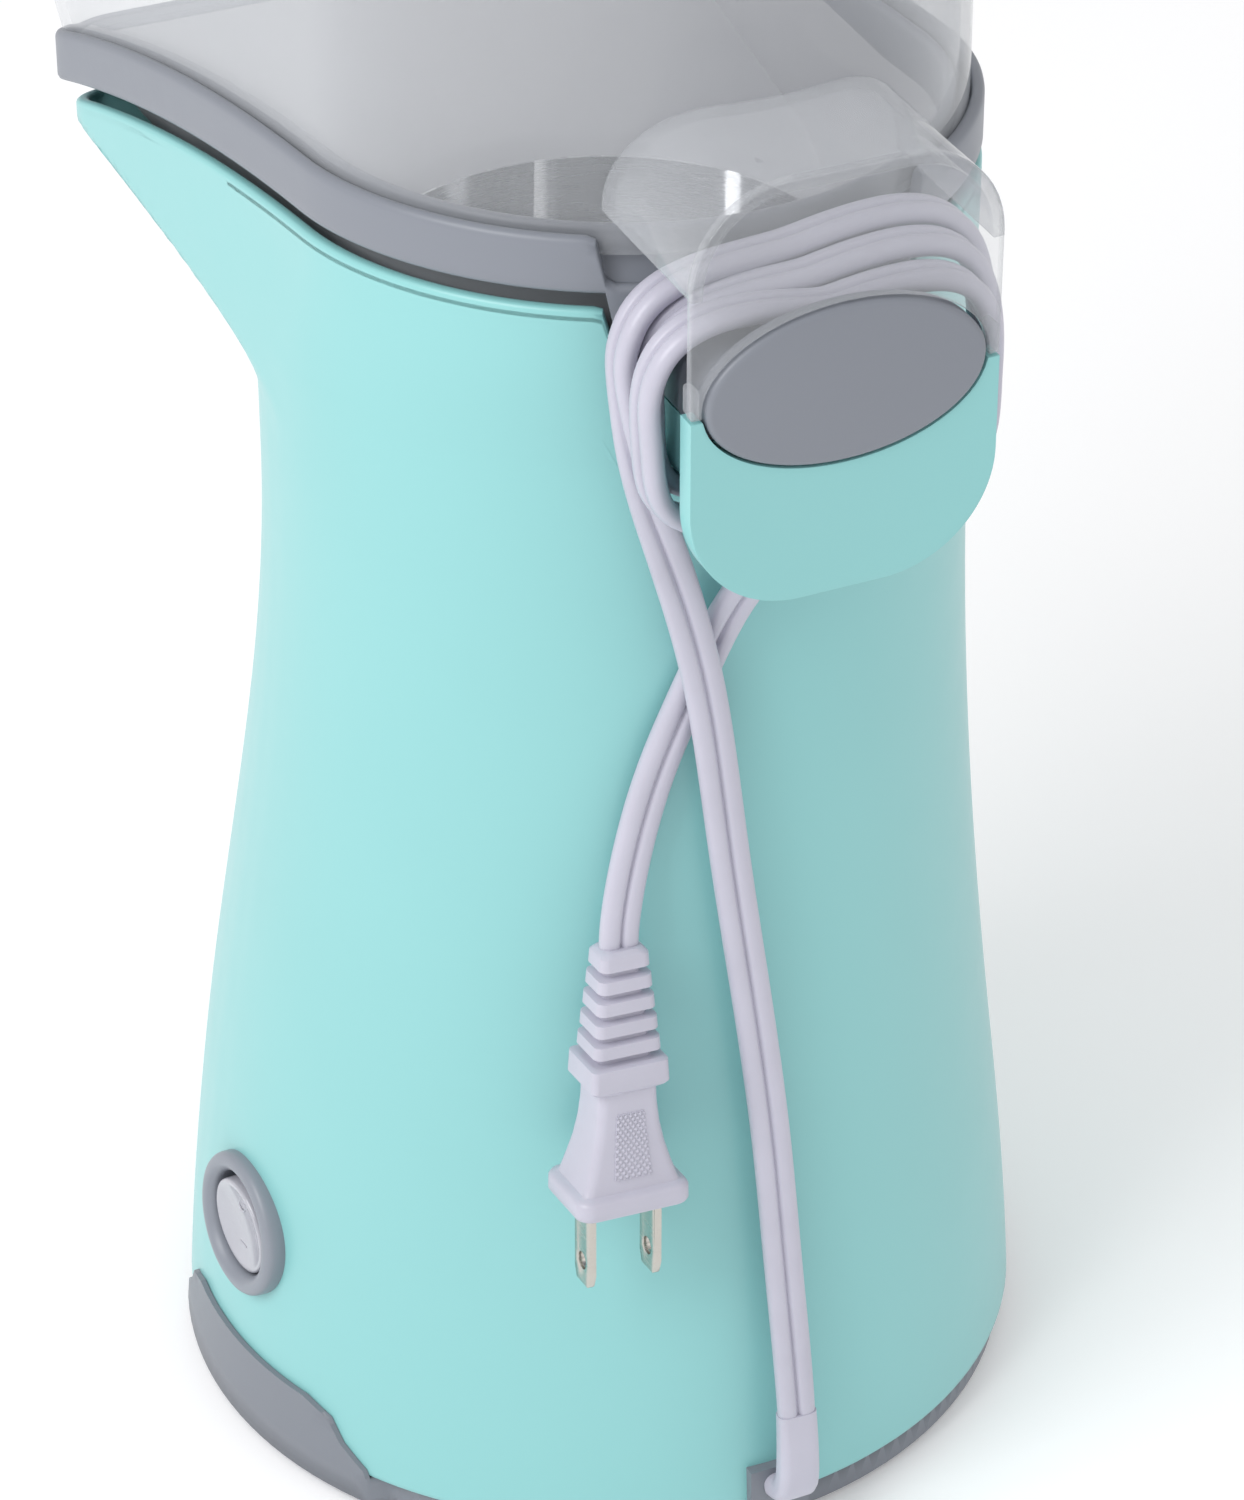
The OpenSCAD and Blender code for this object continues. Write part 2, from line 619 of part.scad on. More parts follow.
module motor_magnets() {
    color([0.3, 0.3, 0.3]) translate([0, core_y, motor_z + 6]) difference() {
        cylinder(r = motor_r - 1.25, h = motor_h - 14);
        translate([0, 0, -1]) cylinder(r = motor_r - 5, h = motor_h);
        for (a = [0, 180]) rotate([0, 0, a]) translate([-30, -3, -1]) cube([60, 6, motor_h]);
    }
}

module motor_armature() {
    z = motor_z + 8;
    color([0.72, 0.45, 0.2]) translate([0, core_y, z]) difference() {
        union() {
            cylinder(r = motor_r - 6, h = motor_h - 18);
            translate([0, 0, -4]) cylinder(r = 5, h = motor_h - 12);
        }
        for (i = [0:4]) rotate([0, 0, i * 72]) translate([motor_r - 9, -1.5, -1]) cube([6, 3, motor_h]);
        translate([0, 0, -5]) cylinder(r = shaft_r, h = motor_h);
    }
}

module motor_shaft() {
    color(steel) translate([0, core_y, motor_z - 5.5]) cylinder(r = shaft_r, h = fan_z + 31 - motor_z + 5.5);
}

module shaft_bearings() {
    color([0.75, 0.6, 0.35]) translate([0, core_y, 0]) {
        for (z = [motor_z - 5.8, fan_z - 5]) translate([0, 0, z]) difference() {
            cylinder(r = 3.35, h = 4.6);
            translate([0, 0, -1]) cylinder(r = shaft_r + 0.05, h = 8);
        }
    }
}

module motor_screws() {
    color(steel) translate([0, core_y, 0]) around(2, motor_r - 6, 45)
        translate([0, 0, fan_z + 2.5]) mirror([0, 0, 1]) screw(2.4, 1.5, 1.15, 4.5);
}

module rectifier_board() {
    color([0.15, 0.4, 0.25]) translate([0, core_y, motor_z - 9.2]) difference() {
        union() {
            cylinder(r = motor_r - 1, h = 1.6);
            around(2, motor_r - 5, 0) cylinder(r = 1.4, h = 5.2);
        }
        translate([0, 0, -1]) cylinder(r = 2.6, h = 4);
    }
}

module rectifier_diodes() {
    color([0.12, 0.12, 0.12]) translate([0, core_y, motor_z - 11.4]) around(4, 11, 45) {
        rotate([90, 0, 0]) cylinder(r = 1.6, h = 7, center = true);
        for (y = [-5, 5]) translate([-0.4, y - 0.4, -0.2]) cube([0.8, 0.8, 2.4]);
        rotate([90, 0, 0]) cylinder(r = 0.4, h = 10.5, center = true);
    }
}

module switch_bezel() {
    color(gray) on_wall(switch_z, switch_az) difference() {
        union() {
            translate([0, 0, -1.5]) cylinder(r = switch_r, h = 3.2);
            translate([0, 0, 1.7]) cylinder(r1 = switch_r, r2 = switch_r - 1, h = 0.9);
            translate([0, 0, -9]) cylinder(r = switch_r - 1.3, h = 8);
        }
        translate([0, 0, -10]) cylinder(r = rocker_r + rocker_gap, h = 20);
        translate([0, 0, 1.3]) cylinder(r1 = rocker_r + rocker_gap, r2 = rocker_r + rocker_gap + 1.6, h = 1.6);
    }
}

module switch_rocker() {
    color([0.72, 0.74, 0.78]) on_wall(switch_z, switch_az)
        translate([0, 0, -4.5]) rotate([0, rocker_tilt, 0]) translate([0, 0, 4.5]) difference() {
            union() {
                translate([0, 0, -3.6]) cylinder(r = rocker_r, h = 5);
                translate([-2, -5.8, -6.4]) cube([4, 11.6, 4]);
            }
            translate([0, 0, 27]) sphere(r = 27, $fn = 96);
            translate([0, 7, -4.5]) rotate([90, 0, 0]) cylinder(r = 1, h = 14);
            for (s = [-1, 1]) translate([-3.2, s * 7.4 - 1.5, -6]) cube([6.4, 3, 3.6]);
        }
}

module switch_body() {
    color([0.18, 0.18, 0.2]) on_wall(switch_z, switch_az) {
        difference() {
            translate([-10, -8.6, -26]) cube([20, 17.2, 16.9]);
            translate([-7.5, -6.9, -16]) cube([15, 13.8, 8]);
        }
        for (s = [-1, 1]) translate([-2, s * 7.4 - 0.9, -9.2]) cube([4, 1.8, 6]);
        translate([0, 8, -4.5]) rotate([90, 0, 0]) cylinder(r = 0.9, h = 16);
    }
}

module switch_terminals() {
    color([0.8, 0.7, 0.45]) on_wall(switch_z, switch_az)
        for (x = [-7, 0, 7]) translate([x - 0.4, -3, -33]) cube([0.8, 6, 7]);
}

module cord_bushing() {
    y = base_y + base_r;
    color(gray) difference() {
        translate([-6, y - 9, skirt_z - 1.8]) cube([12, 10.4, 10.6]);
        translate([cord_route[0][0], y - 12, cord_route[0][2]]) rotate([-90, 0, 0]) cylinder(r = 2.7, h = 20);
    }
}

module cord_clamp() {
    color(gray) difference() {
        translate([-9, base_y + base_r - 28, foot_h + floor_t - 0.6]) cube([18, 7, 12]);
        translate([cord_route[0][0], base_y + base_r - 30, cord_route[0][2]])
            rotate([-90, 0, 0]) cylinder(r = 2.5, h = 20);
    }
}

// Two lead wires side by side through a list of points.
module leads(route, r, gap, ref) {
    for (s = [-1, 1]) sweep([for (p = spline(route)) p + ref * s * gap], r, 8, ref);
}

module mains_lead() {
    y = base_y + base_r;
    color([0.85, 0.85, 0.85]) {
        translate([cord_route[0][0], y - 34, cord_route[0][2]]) rotate([-90, 0, 0]) cylinder(r = 2.4, h = 26);
        leads([[cord_route[0][0], y - 33, cord_route[0][2]], [18, y - 42, 14], [31, 15, 22],
            [44, 8, 34]], 1, 1.3, [0.2, 0.3, 0.93]);
    }
}

module heater_lead() {
    color([0.75, 0.2, 0.15]) leads([[45, 17, 50], [51, 27, 58], [46, 43, 72], [22, 58, 100], [19, 52, heater_z + 6],
        [16, 44, heater_z + 8]], 0.9, 1.2, [0.95, 0.3, 0.1]);
}

module motor_lead() {
    color([0.15, 0.15, 0.15]) leads([[44, 2, 38], [32, 2, 26], [20, 2, motor_z - 13],
        [13, core_y, motor_z - 10]], 0.9, 1.2, [0, 1, 0]);
}

// Round tube through a list of points; ref is a direction that the route never takes.
module sweep(route, r, sides, ref = [1, 0, 0]) {
    n = len(route);
    dirs = [for (i = [0:n - 1]) let(a = route[max(0, i - 1)], b = route[min(n - 1, i + 1)])
        (b - a) / norm(b - a)];
    pts = [for (i = [0:n - 1]) let(d = dirs[i], u = cross(d, ref) / norm(cross(d, ref)), v = cross(d, u))
        for (k = [0:sides - 1]) route[i] + r * (u * cos(k * 360 / sides) + v * sin(k * 360 / sides))];
    polyhedron(pts, concat([[for (k = [0:sides - 1]) k]],
        [for (i = [0:n - 2]) for (k = [0:sides - 1]) let(m = (k + 1) % sides)
            [i * sides + k, (i + 1) * sides + k, (i + 1) * sides + m, i * sides + m]],
        [[for (k = [sides - 1:-1:0]) (n - 1) * sides + k]]), convexity = 10);
}

// A smooth curve through hand-chosen points, four steps to a stretch.
function spline(p) = [for (i = [0:len(p) - 2]) for (k = [0:3]) let(t = k / 4,
    a = p[max(0, i - 1)], b = p[i], c = p[i + 1], d = p[min(len(p) - 1, i + 2)])
    0.5 * (2 * b + (c - a) * t + (2 * a - 5 * b + 4 * c - d) * t * t + (3 * b - a - 3 * c + d) * t * t * t),
    p[len(p) - 1]];

// Hand-chosen points of the cord, from the base to the wound coil.
cord_route = [[-1, 79.5, 12], [-1, 84, 14], [-1, 84.5, 22], [-1, 82.5, 38], [0, 78.5, 64], [1.5, 76, 91],
    [5, 75, 120], [9.5, 74, 152], [13.5, 73.8, 184], [18, 73.2, 205], [24, 74.5, 224], [28.7, 77, 238]];
// Hand-chosen points of the cord, from the wound coil to the plug.
tail_route = [[-2, 80, 223.5], [4, 76, 213], [9, 71.5, 202], [14, 68.6, 187], [21, 68, 170.5], [25, 67.2, 154],
    [28, 69.4, 144], [28.9, 70.4, 139.5], [29, 70.6, 137.5]];
cord_r = 2.5;

module cord_rise() {
    color(cord_white) sweep(spline(cord_route), cord_r, 10);
}

module cord_coil() {
    color(cord_white) difference() {
        along_y(flange_y - 20.3, flange_y - 0.4) difference() {
            hank_outline(10.2);
            hank_outline(0);
        }
        sweep(spline(cord_route), cord_r + 0.02, 10);
        sweep(spline(tail_route), cord_r + 0.02, 10);
    }
}

// Outline of the wound cord round the post, grown by d.
module hank_outline(d) {
    w = post_half_w + 0.4 + d;
    z0 = post_seam_z - post_down - 0.5 - d;
    z1 = post_seam_z + post_up + 0.7 + d * 0.95;
    r = 9 + d;
    k = 7 + d;
    polygon(concat(arc(w - r, z1 - r, r, 0, 90, 8), arc(-w + r, z1 - r, r, 90, 180, 8),
        arc(-w + k, z0 + k, k, 180, 270, 8), arc(w - k, z0 + k, k, 270, 360, 8)));
}

module cord_tail() {
    color(cord_white) sweep(spline(tail_route), cord_r, 10);
}

// Places children at the top of the plug, with local -Z along the plug.
module at_plug() {
    translate([29, 70.6, 138]) rotate([7.6, -3.6, 0]) children();
}

module plug_body() {
    color(cord_white) difference() {
        at_plug() difference() {
            union() {
                translate([0, 0, -21]) cylinder(r1 = 6.2, r2 = 4.4, h = 21);
                translate([-7.5, -6, -26]) cube([15, 12, 5]);
                hull() {
                    translate([-6, -5, -27]) cube([12, 10, 1]);
                    translate([-9.3, -6.6, -45.5]) cube([18.6, 13.2, 1]);
                }
                translate([-plug_w / 2, -plug_d / 2, -49.5]) cube([plug_w, plug_d, 4.5]);
            }
            for (z = [-4.5:-3.6:-19]) for (s = [-1, 1]) translate([-8, s * 7.2 - 3, z]) cube([16, 6, 1.2]);
            for (s = [-1, 1]) translate([s * blade_pitch / 2 - blade_t / 2, -blade_w / 2, -50])
                cube([blade_t, blade_w, 12]);
        }
        sweep(spline(tail_route), cord_r + 0.02, 10);
    }
}

module plug_blades() {
    color([0.72, 0.7, 0.66]) at_plug() for (s = [-1, 1]) difference() {
        translate([s * blade_pitch / 2 - blade_t / 2, -blade_w / 2, -49.5 - blade_l])
            cube([blade_t, blade_w, blade_l + 11]);
        translate([s * blade_pitch / 2 - 3, 0, -49.5 - blade_l + 4.6]) rotate([0, 90, 0])
            cylinder(r = 1.6, h = 6);
        for (k = [-1, 1]) translate([s * blade_pitch / 2, k * blade_w / 2, -49.5 - blade_l])
            rotate([45, 0, 0]) cube([4, 2.2, 2.2], center = true);
    }
}

// Section of the clear cover at a height, moved inwards by d.
function cover_section(z, d) = let(t = min(1, max(0, (z - cover_dome_z) / (cover_top_z - cover_dome_z))),
    k = sqrt(1 - t * t), w = waist_r - 1.6 - cover_in, yc = waist_lean + 4.5,
    wr = mix(cup_hole_r + 7, w, k), wf = mix(cup_hole_r + 3, lip_half_w - cover_in, k),
    reach = mix(cup_hole_r + 9 - 3, mouth_reach + 8, pow(k, 1.3)), back = mix(3, yc, k))
    outline(wf - d, wr - d, reach - d, back, mix(cup_hole_r, 15, k) - d * 0.8);

module clear_cover() {
    top = cover_top_z;
    zs = [232, cover_dome_z, for (t = [0.3, 0.52, 0.7, 0.83, 0.92, 0.97, 1])
        mix(cover_dome_z, top, t)];
    color([0.85, 0.9, 0.95, 0.4]) difference() {
        union() {
            difference() {
                loft([for (z = zs) cover_section(z, 0)], zs);
                loft([for (z = zs) cover_section(z, cover_t)],
                    [for (z = zs) z <= cover_dome_z ? z - 2 : z - cover_t * (z - cover_dome_z)
                        / (top - cover_dome_z)]);
                under_rim(-groove_d + 0.5);
                mouth_cut();
            }
            rear_hood();
        }
        translate([0, 3, top - 8]) cylinder(r = cup_hole_r, h = 20);
        difference() {
            loft([for (z = [240, cover_dome_z - 2]) cover_section(z, cover_t)], [240, cover_dome_z - 2]);
            translate([-200, -300, 0]) cube([400, 320, 500]);
        }
    }
}

// Removes the front of the cover so that the spout is open.
module mouth_cut() {
    z0 = rim_z - rim_drop;
    r = mouth_reach;
    rotate([90, 0, 90]) linear_extrude(height = 300, center = true)
        polygon(concat([[-lip_reach + 7, z0 - 20], [-lip_reach + 7, z0 - 3]],
            arc(-r + 30, z0 + 36, 30, 236, 180, 8), [[-r, cover_top_z], [-r - 60, cover_top_z],
            [-r - 60, z0 - 20]]));
}

// Arched roof and end plate over the wound cord.
module rear_hood() {
    w = flange_half_w;
    z1 = oval_z + 38.3;
    r = 17;
    arch = concat(arc(w - r, z1 - r, r, 0, 90, 8), arc(-w + r, z1 - r, r, 90, 180, 8));
    inner = concat(arc(w - r, z1 - r, r - cover_t, 0, 90, 8), arc(-w + r, z1 - r, r - cover_t, 90, 180, 8));
    difference() {
        union() {
            difference() {
                along_y(waist_lean + 4.5 + 40, rear_reach)
                    polygon(concat(arch, [[-w, z1 - r - 1], [w, z1 - r - 1]]));
                along_y(waist_lean, rear_reach + 1)
                    polygon(concat(inner, [[-w + cover_t, z1 - r - 3], [w - cover_t, z1 - r - 3]]));
            }
            along_y(rear_reach - 2, rear_reach) polygon(concat(arch, [[-w, oval_z - 0.9], [w, oval_z - 0.9]]));
        }
        along_y(rear_reach - 4, rear_reach + 3) oval(oval_a + 0.6, oval_b + 0.6);
    }
}

module measuring_cup() {
    z1 = cover_top_z + 10;
    z0 = z1 - cup_d;
    r = cup_hole_r - cup_gap;
    t = cup_t;
    color([0.85, 0.88, 0.92, 0.6]) translate([0, 3, 0]) difference() {
        union() {
            rotate_extrude() polygon([[0, z0], [r - 6, z0], [r - 4.5, z0 + 1.5], [r - 1, cover_top_z + 0.3],
                [r + 5, cover_top_z + 0.3], [r + 5, cover_top_z + 2.1], [r, cover_top_z + 2.4],
                [r + 1.5, z1], [r + 1.5 - t, z1], [r - 1 - t, cover_top_z + 0.3],
                [r - 4.5 - t, z0 + 2.4], [r - 6.5, z0 + t], [0, z0 + t]]);
            translate([-9, r + 1, cover_top_z + 6.4]) cube([18, 16, 2.4]);
        }
        translate([0, r + 12, cover_top_z]) cylinder(r = 2.5, h = 12);
    }
}

housing();
base();
foot_pads();
base_screws();
chute_collar();
popping_chamber();
chamber_screws();
air_sleeve();
heater_frame();
main_heater_coil();
dropper_coil();
heat_shield();
thermostat();
thermal_fuse();
fan_housing();
fan_housing_screws();
fan();
fan_clip();
motor_can();
motor_end_cap();
motor_magnets();
motor_armature();
motor_shaft();
shaft_bearings();
motor_screws();
rectifier_board();
rectifier_diodes();
switch_bezel();
switch_rocker();
switch_body();
switch_terminals();
cord_bushing();
cord_clamp();
mains_lead();
heater_lead();
motor_lead();
cord_rise();
cord_coil();
cord_tail();
plug_body();
plug_blades();
clear_cover();
measuring_cup();
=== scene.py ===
"""Looks of a hot-air popcorn maker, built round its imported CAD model."""

import json
import math

import bpy
import numpy as np
from mathutils import Matrix, Vector


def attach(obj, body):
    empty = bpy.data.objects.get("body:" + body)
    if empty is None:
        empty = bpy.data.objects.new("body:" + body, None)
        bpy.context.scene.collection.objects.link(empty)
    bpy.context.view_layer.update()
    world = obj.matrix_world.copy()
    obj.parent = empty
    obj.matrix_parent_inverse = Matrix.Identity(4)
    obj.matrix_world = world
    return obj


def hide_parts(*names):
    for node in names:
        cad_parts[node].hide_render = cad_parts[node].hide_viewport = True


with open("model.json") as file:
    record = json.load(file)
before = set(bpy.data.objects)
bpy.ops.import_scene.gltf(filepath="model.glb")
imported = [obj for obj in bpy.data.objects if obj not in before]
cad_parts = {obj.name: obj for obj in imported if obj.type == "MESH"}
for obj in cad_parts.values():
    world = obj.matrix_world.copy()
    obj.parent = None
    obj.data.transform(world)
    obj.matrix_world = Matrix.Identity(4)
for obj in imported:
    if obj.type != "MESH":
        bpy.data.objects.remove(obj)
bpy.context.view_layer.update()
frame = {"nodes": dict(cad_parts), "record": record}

bl_info = {
    "name": "Popcorn maker",
    "version": (1, 0, 0),
    "blender": (4, 5, 0),
    "location": "3D View > Sidebar > Popcorn",
    "description": "Builds the visible pieces, materials and stage of a hot-air popcorn maker",
    "category": "Object",
}

MM = 0.001
BODY, COVER, CUP, ROCKER = "body", "cover", "cup", "rocker"


# --- Settings -------------------------------------------------------------------------------

def length(name, description, default, low=0.0, high=1.0):
    return bpy.props.FloatProperty(name=name, description=description, default=default, min=low, max=high,
                                   unit="LENGTH", precision=5)


def colour(name, description, default):
    return bpy.props.FloatVectorProperty(name=name, description=description, default=default, size=3,
                                         min=0.0, max=1.0, subtype="COLOR")


class PopcornSizes(bpy.types.PropertyGroup):
    """Sizes that the CAD model leaves open."""
    cord_width: length("Cord width", "Width of the flat twin cord", 0.0072, 0.003, 0.012)
    cord_thick: length("Cord thickness", "Thickness of the flat twin cord", 0.0036, 0.002, 0.008)
    cord_groove: length("Cord groove", "Depth of the groove between the two cores", 0.0008, 0.0, 0.0015)
    edge_round: length("Edge rounding", "Radius of the moulded edges", 0.0009, 0.0002, 0.002)
    housing_wall: length("Housing wall", "Thickness of the housing", 0.0025, 0.001, 0.004)
    cover_wall: length("Cover wall", "Thickness of the clear cover", 0.002, 0.001, 0.003)


class PopcornColours(bpy.types.PropertyGroup):
    """Colours of the finishes."""
    aqua: colour("Aqua", "Housing and flap", (0.255, 0.56, 0.56))
    gray: colour("Gray trim", "Rim, base and cap", (0.215, 0.23, 0.265))
    chute: colour("Chute", "Inside of the chute", (0.40, 0.405, 0.43))
    cord: colour("Cord", "Cord and plug", (0.50, 0.49, 0.575))
    clear: colour("Clear", "Cover and cup", (0.58, 0.60, 0.63))
    floor: colour("Floor", "Floor of the studio", (0.93, 0.93, 0.94))


class PopcornStudio(bpy.types.PropertyGroup):
    """Light and camera."""
    key: bpy.props.FloatProperty(name="Key light", description="Power of the main softbox", default=15.5,
                                 min=0.0, max=500.0, unit="POWER")
    fill: bpy.props.FloatProperty(name="Fill light", description="Power of the fill softbox", default=2.2,
                                  min=0.0, max=500.0, unit="POWER")
    sky: bpy.props.FloatProperty(name="Sky", description="Strength of the white surroundings", default=0.72,
                                 min=0.0, max=5.0)
    lens: bpy.props.FloatProperty(name="Lens", description="Focal length in millimetres", default=130.4,
                                  min=20.0, max=300.0)


def settings():
    scene = bpy.context.scene
    return scene.popcorn_sizes, scene.popcorn_colours, scene.popcorn_studio


# --- Shader maths ----------------------------------------------------------------------------

class Value:
    """A shader socket that takes part in Python expressions."""

    def __init__(self, shader, socket):
        self.shader, self.socket = shader, socket

    def _maths(self, operation, first, second=0.0):
        return self.shader.add("ShaderNodeMath", {"operation": operation}, [first, second])

    def __add__(self, other):
        return self._maths("ADD", self, other)

    def __sub__(self, other):
        return self._maths("SUBTRACT", self, other)

    def __rsub__(self, other):
        return self._maths("SUBTRACT", other, self)

    def __mul__(self, other):
        return self._maths("MULTIPLY", self, other)

    def clamp(self, low=0.0, high=1.0):
        return self._maths("MINIMUM", self._maths("MAXIMUM", self, low), high)

    __radd__ = __add__
    __rmul__ = __mul__


class Shader:
    """One material and the nodes in it."""

    def __init__(self, name):
        self.material = bpy.data.materials.new(name)
        self.material.use_nodes = True
        self.nodes = self.material.node_tree.nodes
        self.links = self.material.node_tree.links
        self.surface = self.nodes["Principled BSDF"]

    def add(self, kind, settings=None, inputs=(), out=0):
        """Adds a node, sets it up, fills its inputs, and returns one of its outputs as a Value."""
        node = self.nodes.new(kind)
        for key, value in (settings or {}).items():
            if key == "stops":
                while len(node.color_ramp.elements) < len(value):
                    node.color_ramp.elements.new(0.5)
                for element, (place, shade) in zip(node.color_ramp.elements, value):
                    element.position, element.color = place, (*shade, 1.0)
            else:
                setattr(node, key, value)
        pairs = inputs.items() if isinstance(inputs, dict) else enumerate(inputs)
        for key, value in pairs:
            self.put(node.inputs[key], value)
        return Value(self, node.outputs[out])

    def put(self, socket, value):
        if isinstance(value, Value):
            self.links.new(value.socket, socket)
        else:
            socket.default_value = value

    def place(self, scale=(1.0, 1.0, 1.0), turn=(0.0, 0.0, 0.0), shift=(0.0, 0.0, 0.0)):
        """Object coordinates, stretched, turned and shifted."""
        spot = self.add("ShaderNodeTexCoord", out="Object")
        return self.add("ShaderNodeMapping", None,
                        {"Vector": spot, "Scale": scale, "Rotation": turn, "Location": shift})

    def noise(self, where, scale, detail=2.0, roughness=0.5):
        return self.add("ShaderNodeTexNoise", None,
                        {"Vector": where, "Scale": scale, "Detail": detail, "Roughness": roughness})

    def blend(self, amount, first, second):
        """Mixes two colours."""
        node = self.nodes.new("ShaderNodeMix")
        node.data_type = "RGBA"
        sockets = {"Factor": node.inputs[0], "A": node.inputs[6], "B": node.inputs[7]}
        for key, value in (("Factor", amount), ("A", first), ("B", second)):
            if not isinstance(value, Value) and key != "Factor" and len(value) == 3:
                value = (*value, 1.0)
            self.put(sockets[key], value)
        return Value(self, node.outputs[2])

    def bump(self, height, strength, distance):
        normal = self.add("ShaderNodeBump", None, {"Strength": strength, "Distance": distance, "Height": height})
        self.put(self.surface.inputs["Normal"], normal)

    def set(self, **values):
        for key, value in values.items():
            socket = self.surface.inputs[key.replace("_", " ").title().replace("Ior", "IOR")]
            if not isinstance(value, Value) and socket.type == "RGBA":
                value = (*value, 1.0)
            self.put(socket, value)


def scaled(shade, factor):
    return tuple(min(1.0, c * factor) for c in shade)


def moulded(name, shade, rough=0.34, grain=0.05, mottle=0.035, coat=0.0):
    """Moulded plastic: faint flow marks, a fine eroded grain and uneven gloss."""
    s = Shader(name)
    where = s.place()
    flow = s.noise(where, 14.0, 3.0)
    grit = s.noise(where, 1700.0, 2.0, 0.6)
    dust = s.noise(where, 90.0, 4.0, 0.65)
    s.set(base_color=s.blend((flow - 0.5) * 0.9 + 0.5, scaled(shade, 1 - mottle), scaled(shade, 1 + mottle)),
          roughness=(flow - 0.5) * 0.06 + (dust - 0.5) * 0.10 + rough, ior=1.47)
    if coat:
        s.set(coat_weight=coat, coat_roughness=0.12)
    s.bump(grit * 0.7 + dust * 0.3, grain, 0.0002)
    return s.material


def metal(name, shade, rough=0.3, brushed=(1.0, 1.0, 14.0), tarnish=None):
    """Metal with drawn marks along one direction and darker patches."""
    s = Shader(name)
    marks = s.noise(s.place(scale=brushed), 160.0, 3.0, 0.6)
    patch = s.noise(s.place(), 30.0, 4.0, 0.6)
    second = tarnish or scaled(shade, 0.72)
    s.set(base_color=s.blend((patch * 1.6 - 0.5).clamp(), shade, second), metallic=1.0,
          roughness=((marks - 0.5) * 0.22 + (patch - 0.5) * 0.12 + rough).clamp(0.05, 0.95))
    s.bump(marks, 0.12, 0.0002)
    return s.material


def dull(name, shade, rough=0.7, scale=300.0, second=None, strength=0.3):
    """Rubber, board, fibre or ceramic: matt, with a coarse grain of two tones."""
    s = Shader(name)
    where = s.place()
    grain = s.noise(where, scale, 5.0, 0.65)
    cloud = s.noise(where, scale / 9.0, 3.0)
    s.set(base_color=s.blend(((grain + cloud) * 1.3 - 0.8).clamp(), shade, second or scaled(shade, 0.75)),
          roughness=((cloud - 0.5) * 0.25 + rough).clamp(0.1, 1.0))
    s.bump(grain, strength, 0.0004)
    return s.material


def clear(name, shade, rough=0.03):
    """Clear plastic with faint flow waves and fine handling marks."""
    s = Shader(name)
    where = s.place()
    wave = s.noise(where, 22.0, 2.0)
    scuff = s.noise(s.place(scale=(1.0, 1.0, 5.0)), 420.0, 4.0, 0.7)
    edge = s.add("ShaderNodeLayerWeight", None, {"Blend": 0.45}, out=1)
    s.set(base_color=s.blend(wave, shade, scaled(shade, 0.96)), ior=1.5, specular_ior_level=0.8,
          alpha=edge * edge * 0.6 + 0.17 + (scuff - 0.5) * 0.03,
          roughness=((scuff - 0.62) * 0.5).clamp(0.0, 0.08) + rough)
    s.bump(wave, 0.10, 0.0006)
    return s.material


def rubbery_cord(name, shade):
    """Soft vinyl of the cord and plug: a slight sheen, a fine grain, and handling dirt."""
    s = Shader(name)
    where = s.place()
    cloud = s.noise(where, 35.0, 4.0, 0.6)
    grit = s.noise(where, 1300.0, 2.0)
    s.set(base_color=s.blend((cloud * 1.5 - 0.4).clamp(), scaled(shade, 1.05), scaled(shade, 0.88)),
          roughness=(cloud - 0.5) * 0.14 + 0.36, ior=1.5, subsurface_weight=0.06,
          subsurface_radius=(0.004, 0.003, 0.003), subsurface_scale=0.4)
    s.bump(grit, 0.06, 0.0002)
    return s.material


def paint(piece, material):
    piece.data.materials.clear()
    piece.data.materials.append(material)


# --- Modelling helpers ------------------------------------------------------------------------

def deselect():
    if bpy.context.mode != "OBJECT":
        bpy.ops.object.mode_set(mode="OBJECT")
    bpy.ops.object.select_all(action="DESELECT")


def pick(piece):
    deselect()
    piece.select_set(True)
    bpy.context.view_layer.objects.active = piece


def edit(piece, work):
    """Runs edit-mode operators on the whole of a piece."""
    pick(piece)
    bpy.ops.object.mode_set(mode="EDIT")
    bpy.ops.mesh.select_mode(type="VERT")
    bpy.ops.mesh.select_all(action="SELECT")
    work()
    bpy.ops.object.mode_set(mode="OBJECT")


def settle(piece):
    """Puts a piece's place, turn and size into its mesh."""
    pick(piece)
    bpy.ops.object.transform_apply(location=True, rotation=True, scale=True)


def modify(piece, kind, **values):
    pick(piece)
    modifier = piece.modifiers.new(kind.title(), kind)
    for key, value in values.items():
        setattr(modifier, key, value)
    bpy.ops.object.modifier_apply(modifier=modifier.name)


def smooth_shade(piece, degrees=35.0):
    pick(piece)
    bpy.ops.object.shade_smooth_by_angle(angle=math.radians(degrees))


def tidy(piece, outwards=True, gap=0.00001):
    def work():
        bpy.ops.mesh.remove_doubles(threshold=gap)
        if outwards:
            bpy.ops.mesh.normals_make_consistent(inside=False)
    edit(piece, work)


def patch(name, across, along, place):
    """A grid whose points are moved to place(u, v), in millimetres, with u and v from 0 to 1."""
    deselect()
    bpy.ops.mesh.primitive_grid_add(x_subdivisions=across, y_subdivisions=along, size=2.0)
    piece = bpy.context.object
    piece.name = piece.data.name = name
    for point in piece.data.vertices:
        u = round((point.co.x + 1.0) / 2.0 * across) / across
        v = round((point.co.y + 1.0) / 2.0 * along) / along
        point.co = Vector(place(u, v)) * MM
    return piece


def facing(piece, direction):
    """Turns an open sheet over if its first faces look away from a direction."""
    total = sum((p.normal.dot(Vector(direction(p.center)))) * p.area for p in piece.data.polygons)
    if total < 0:
        edit(piece, bpy.ops.mesh.flip_normals)


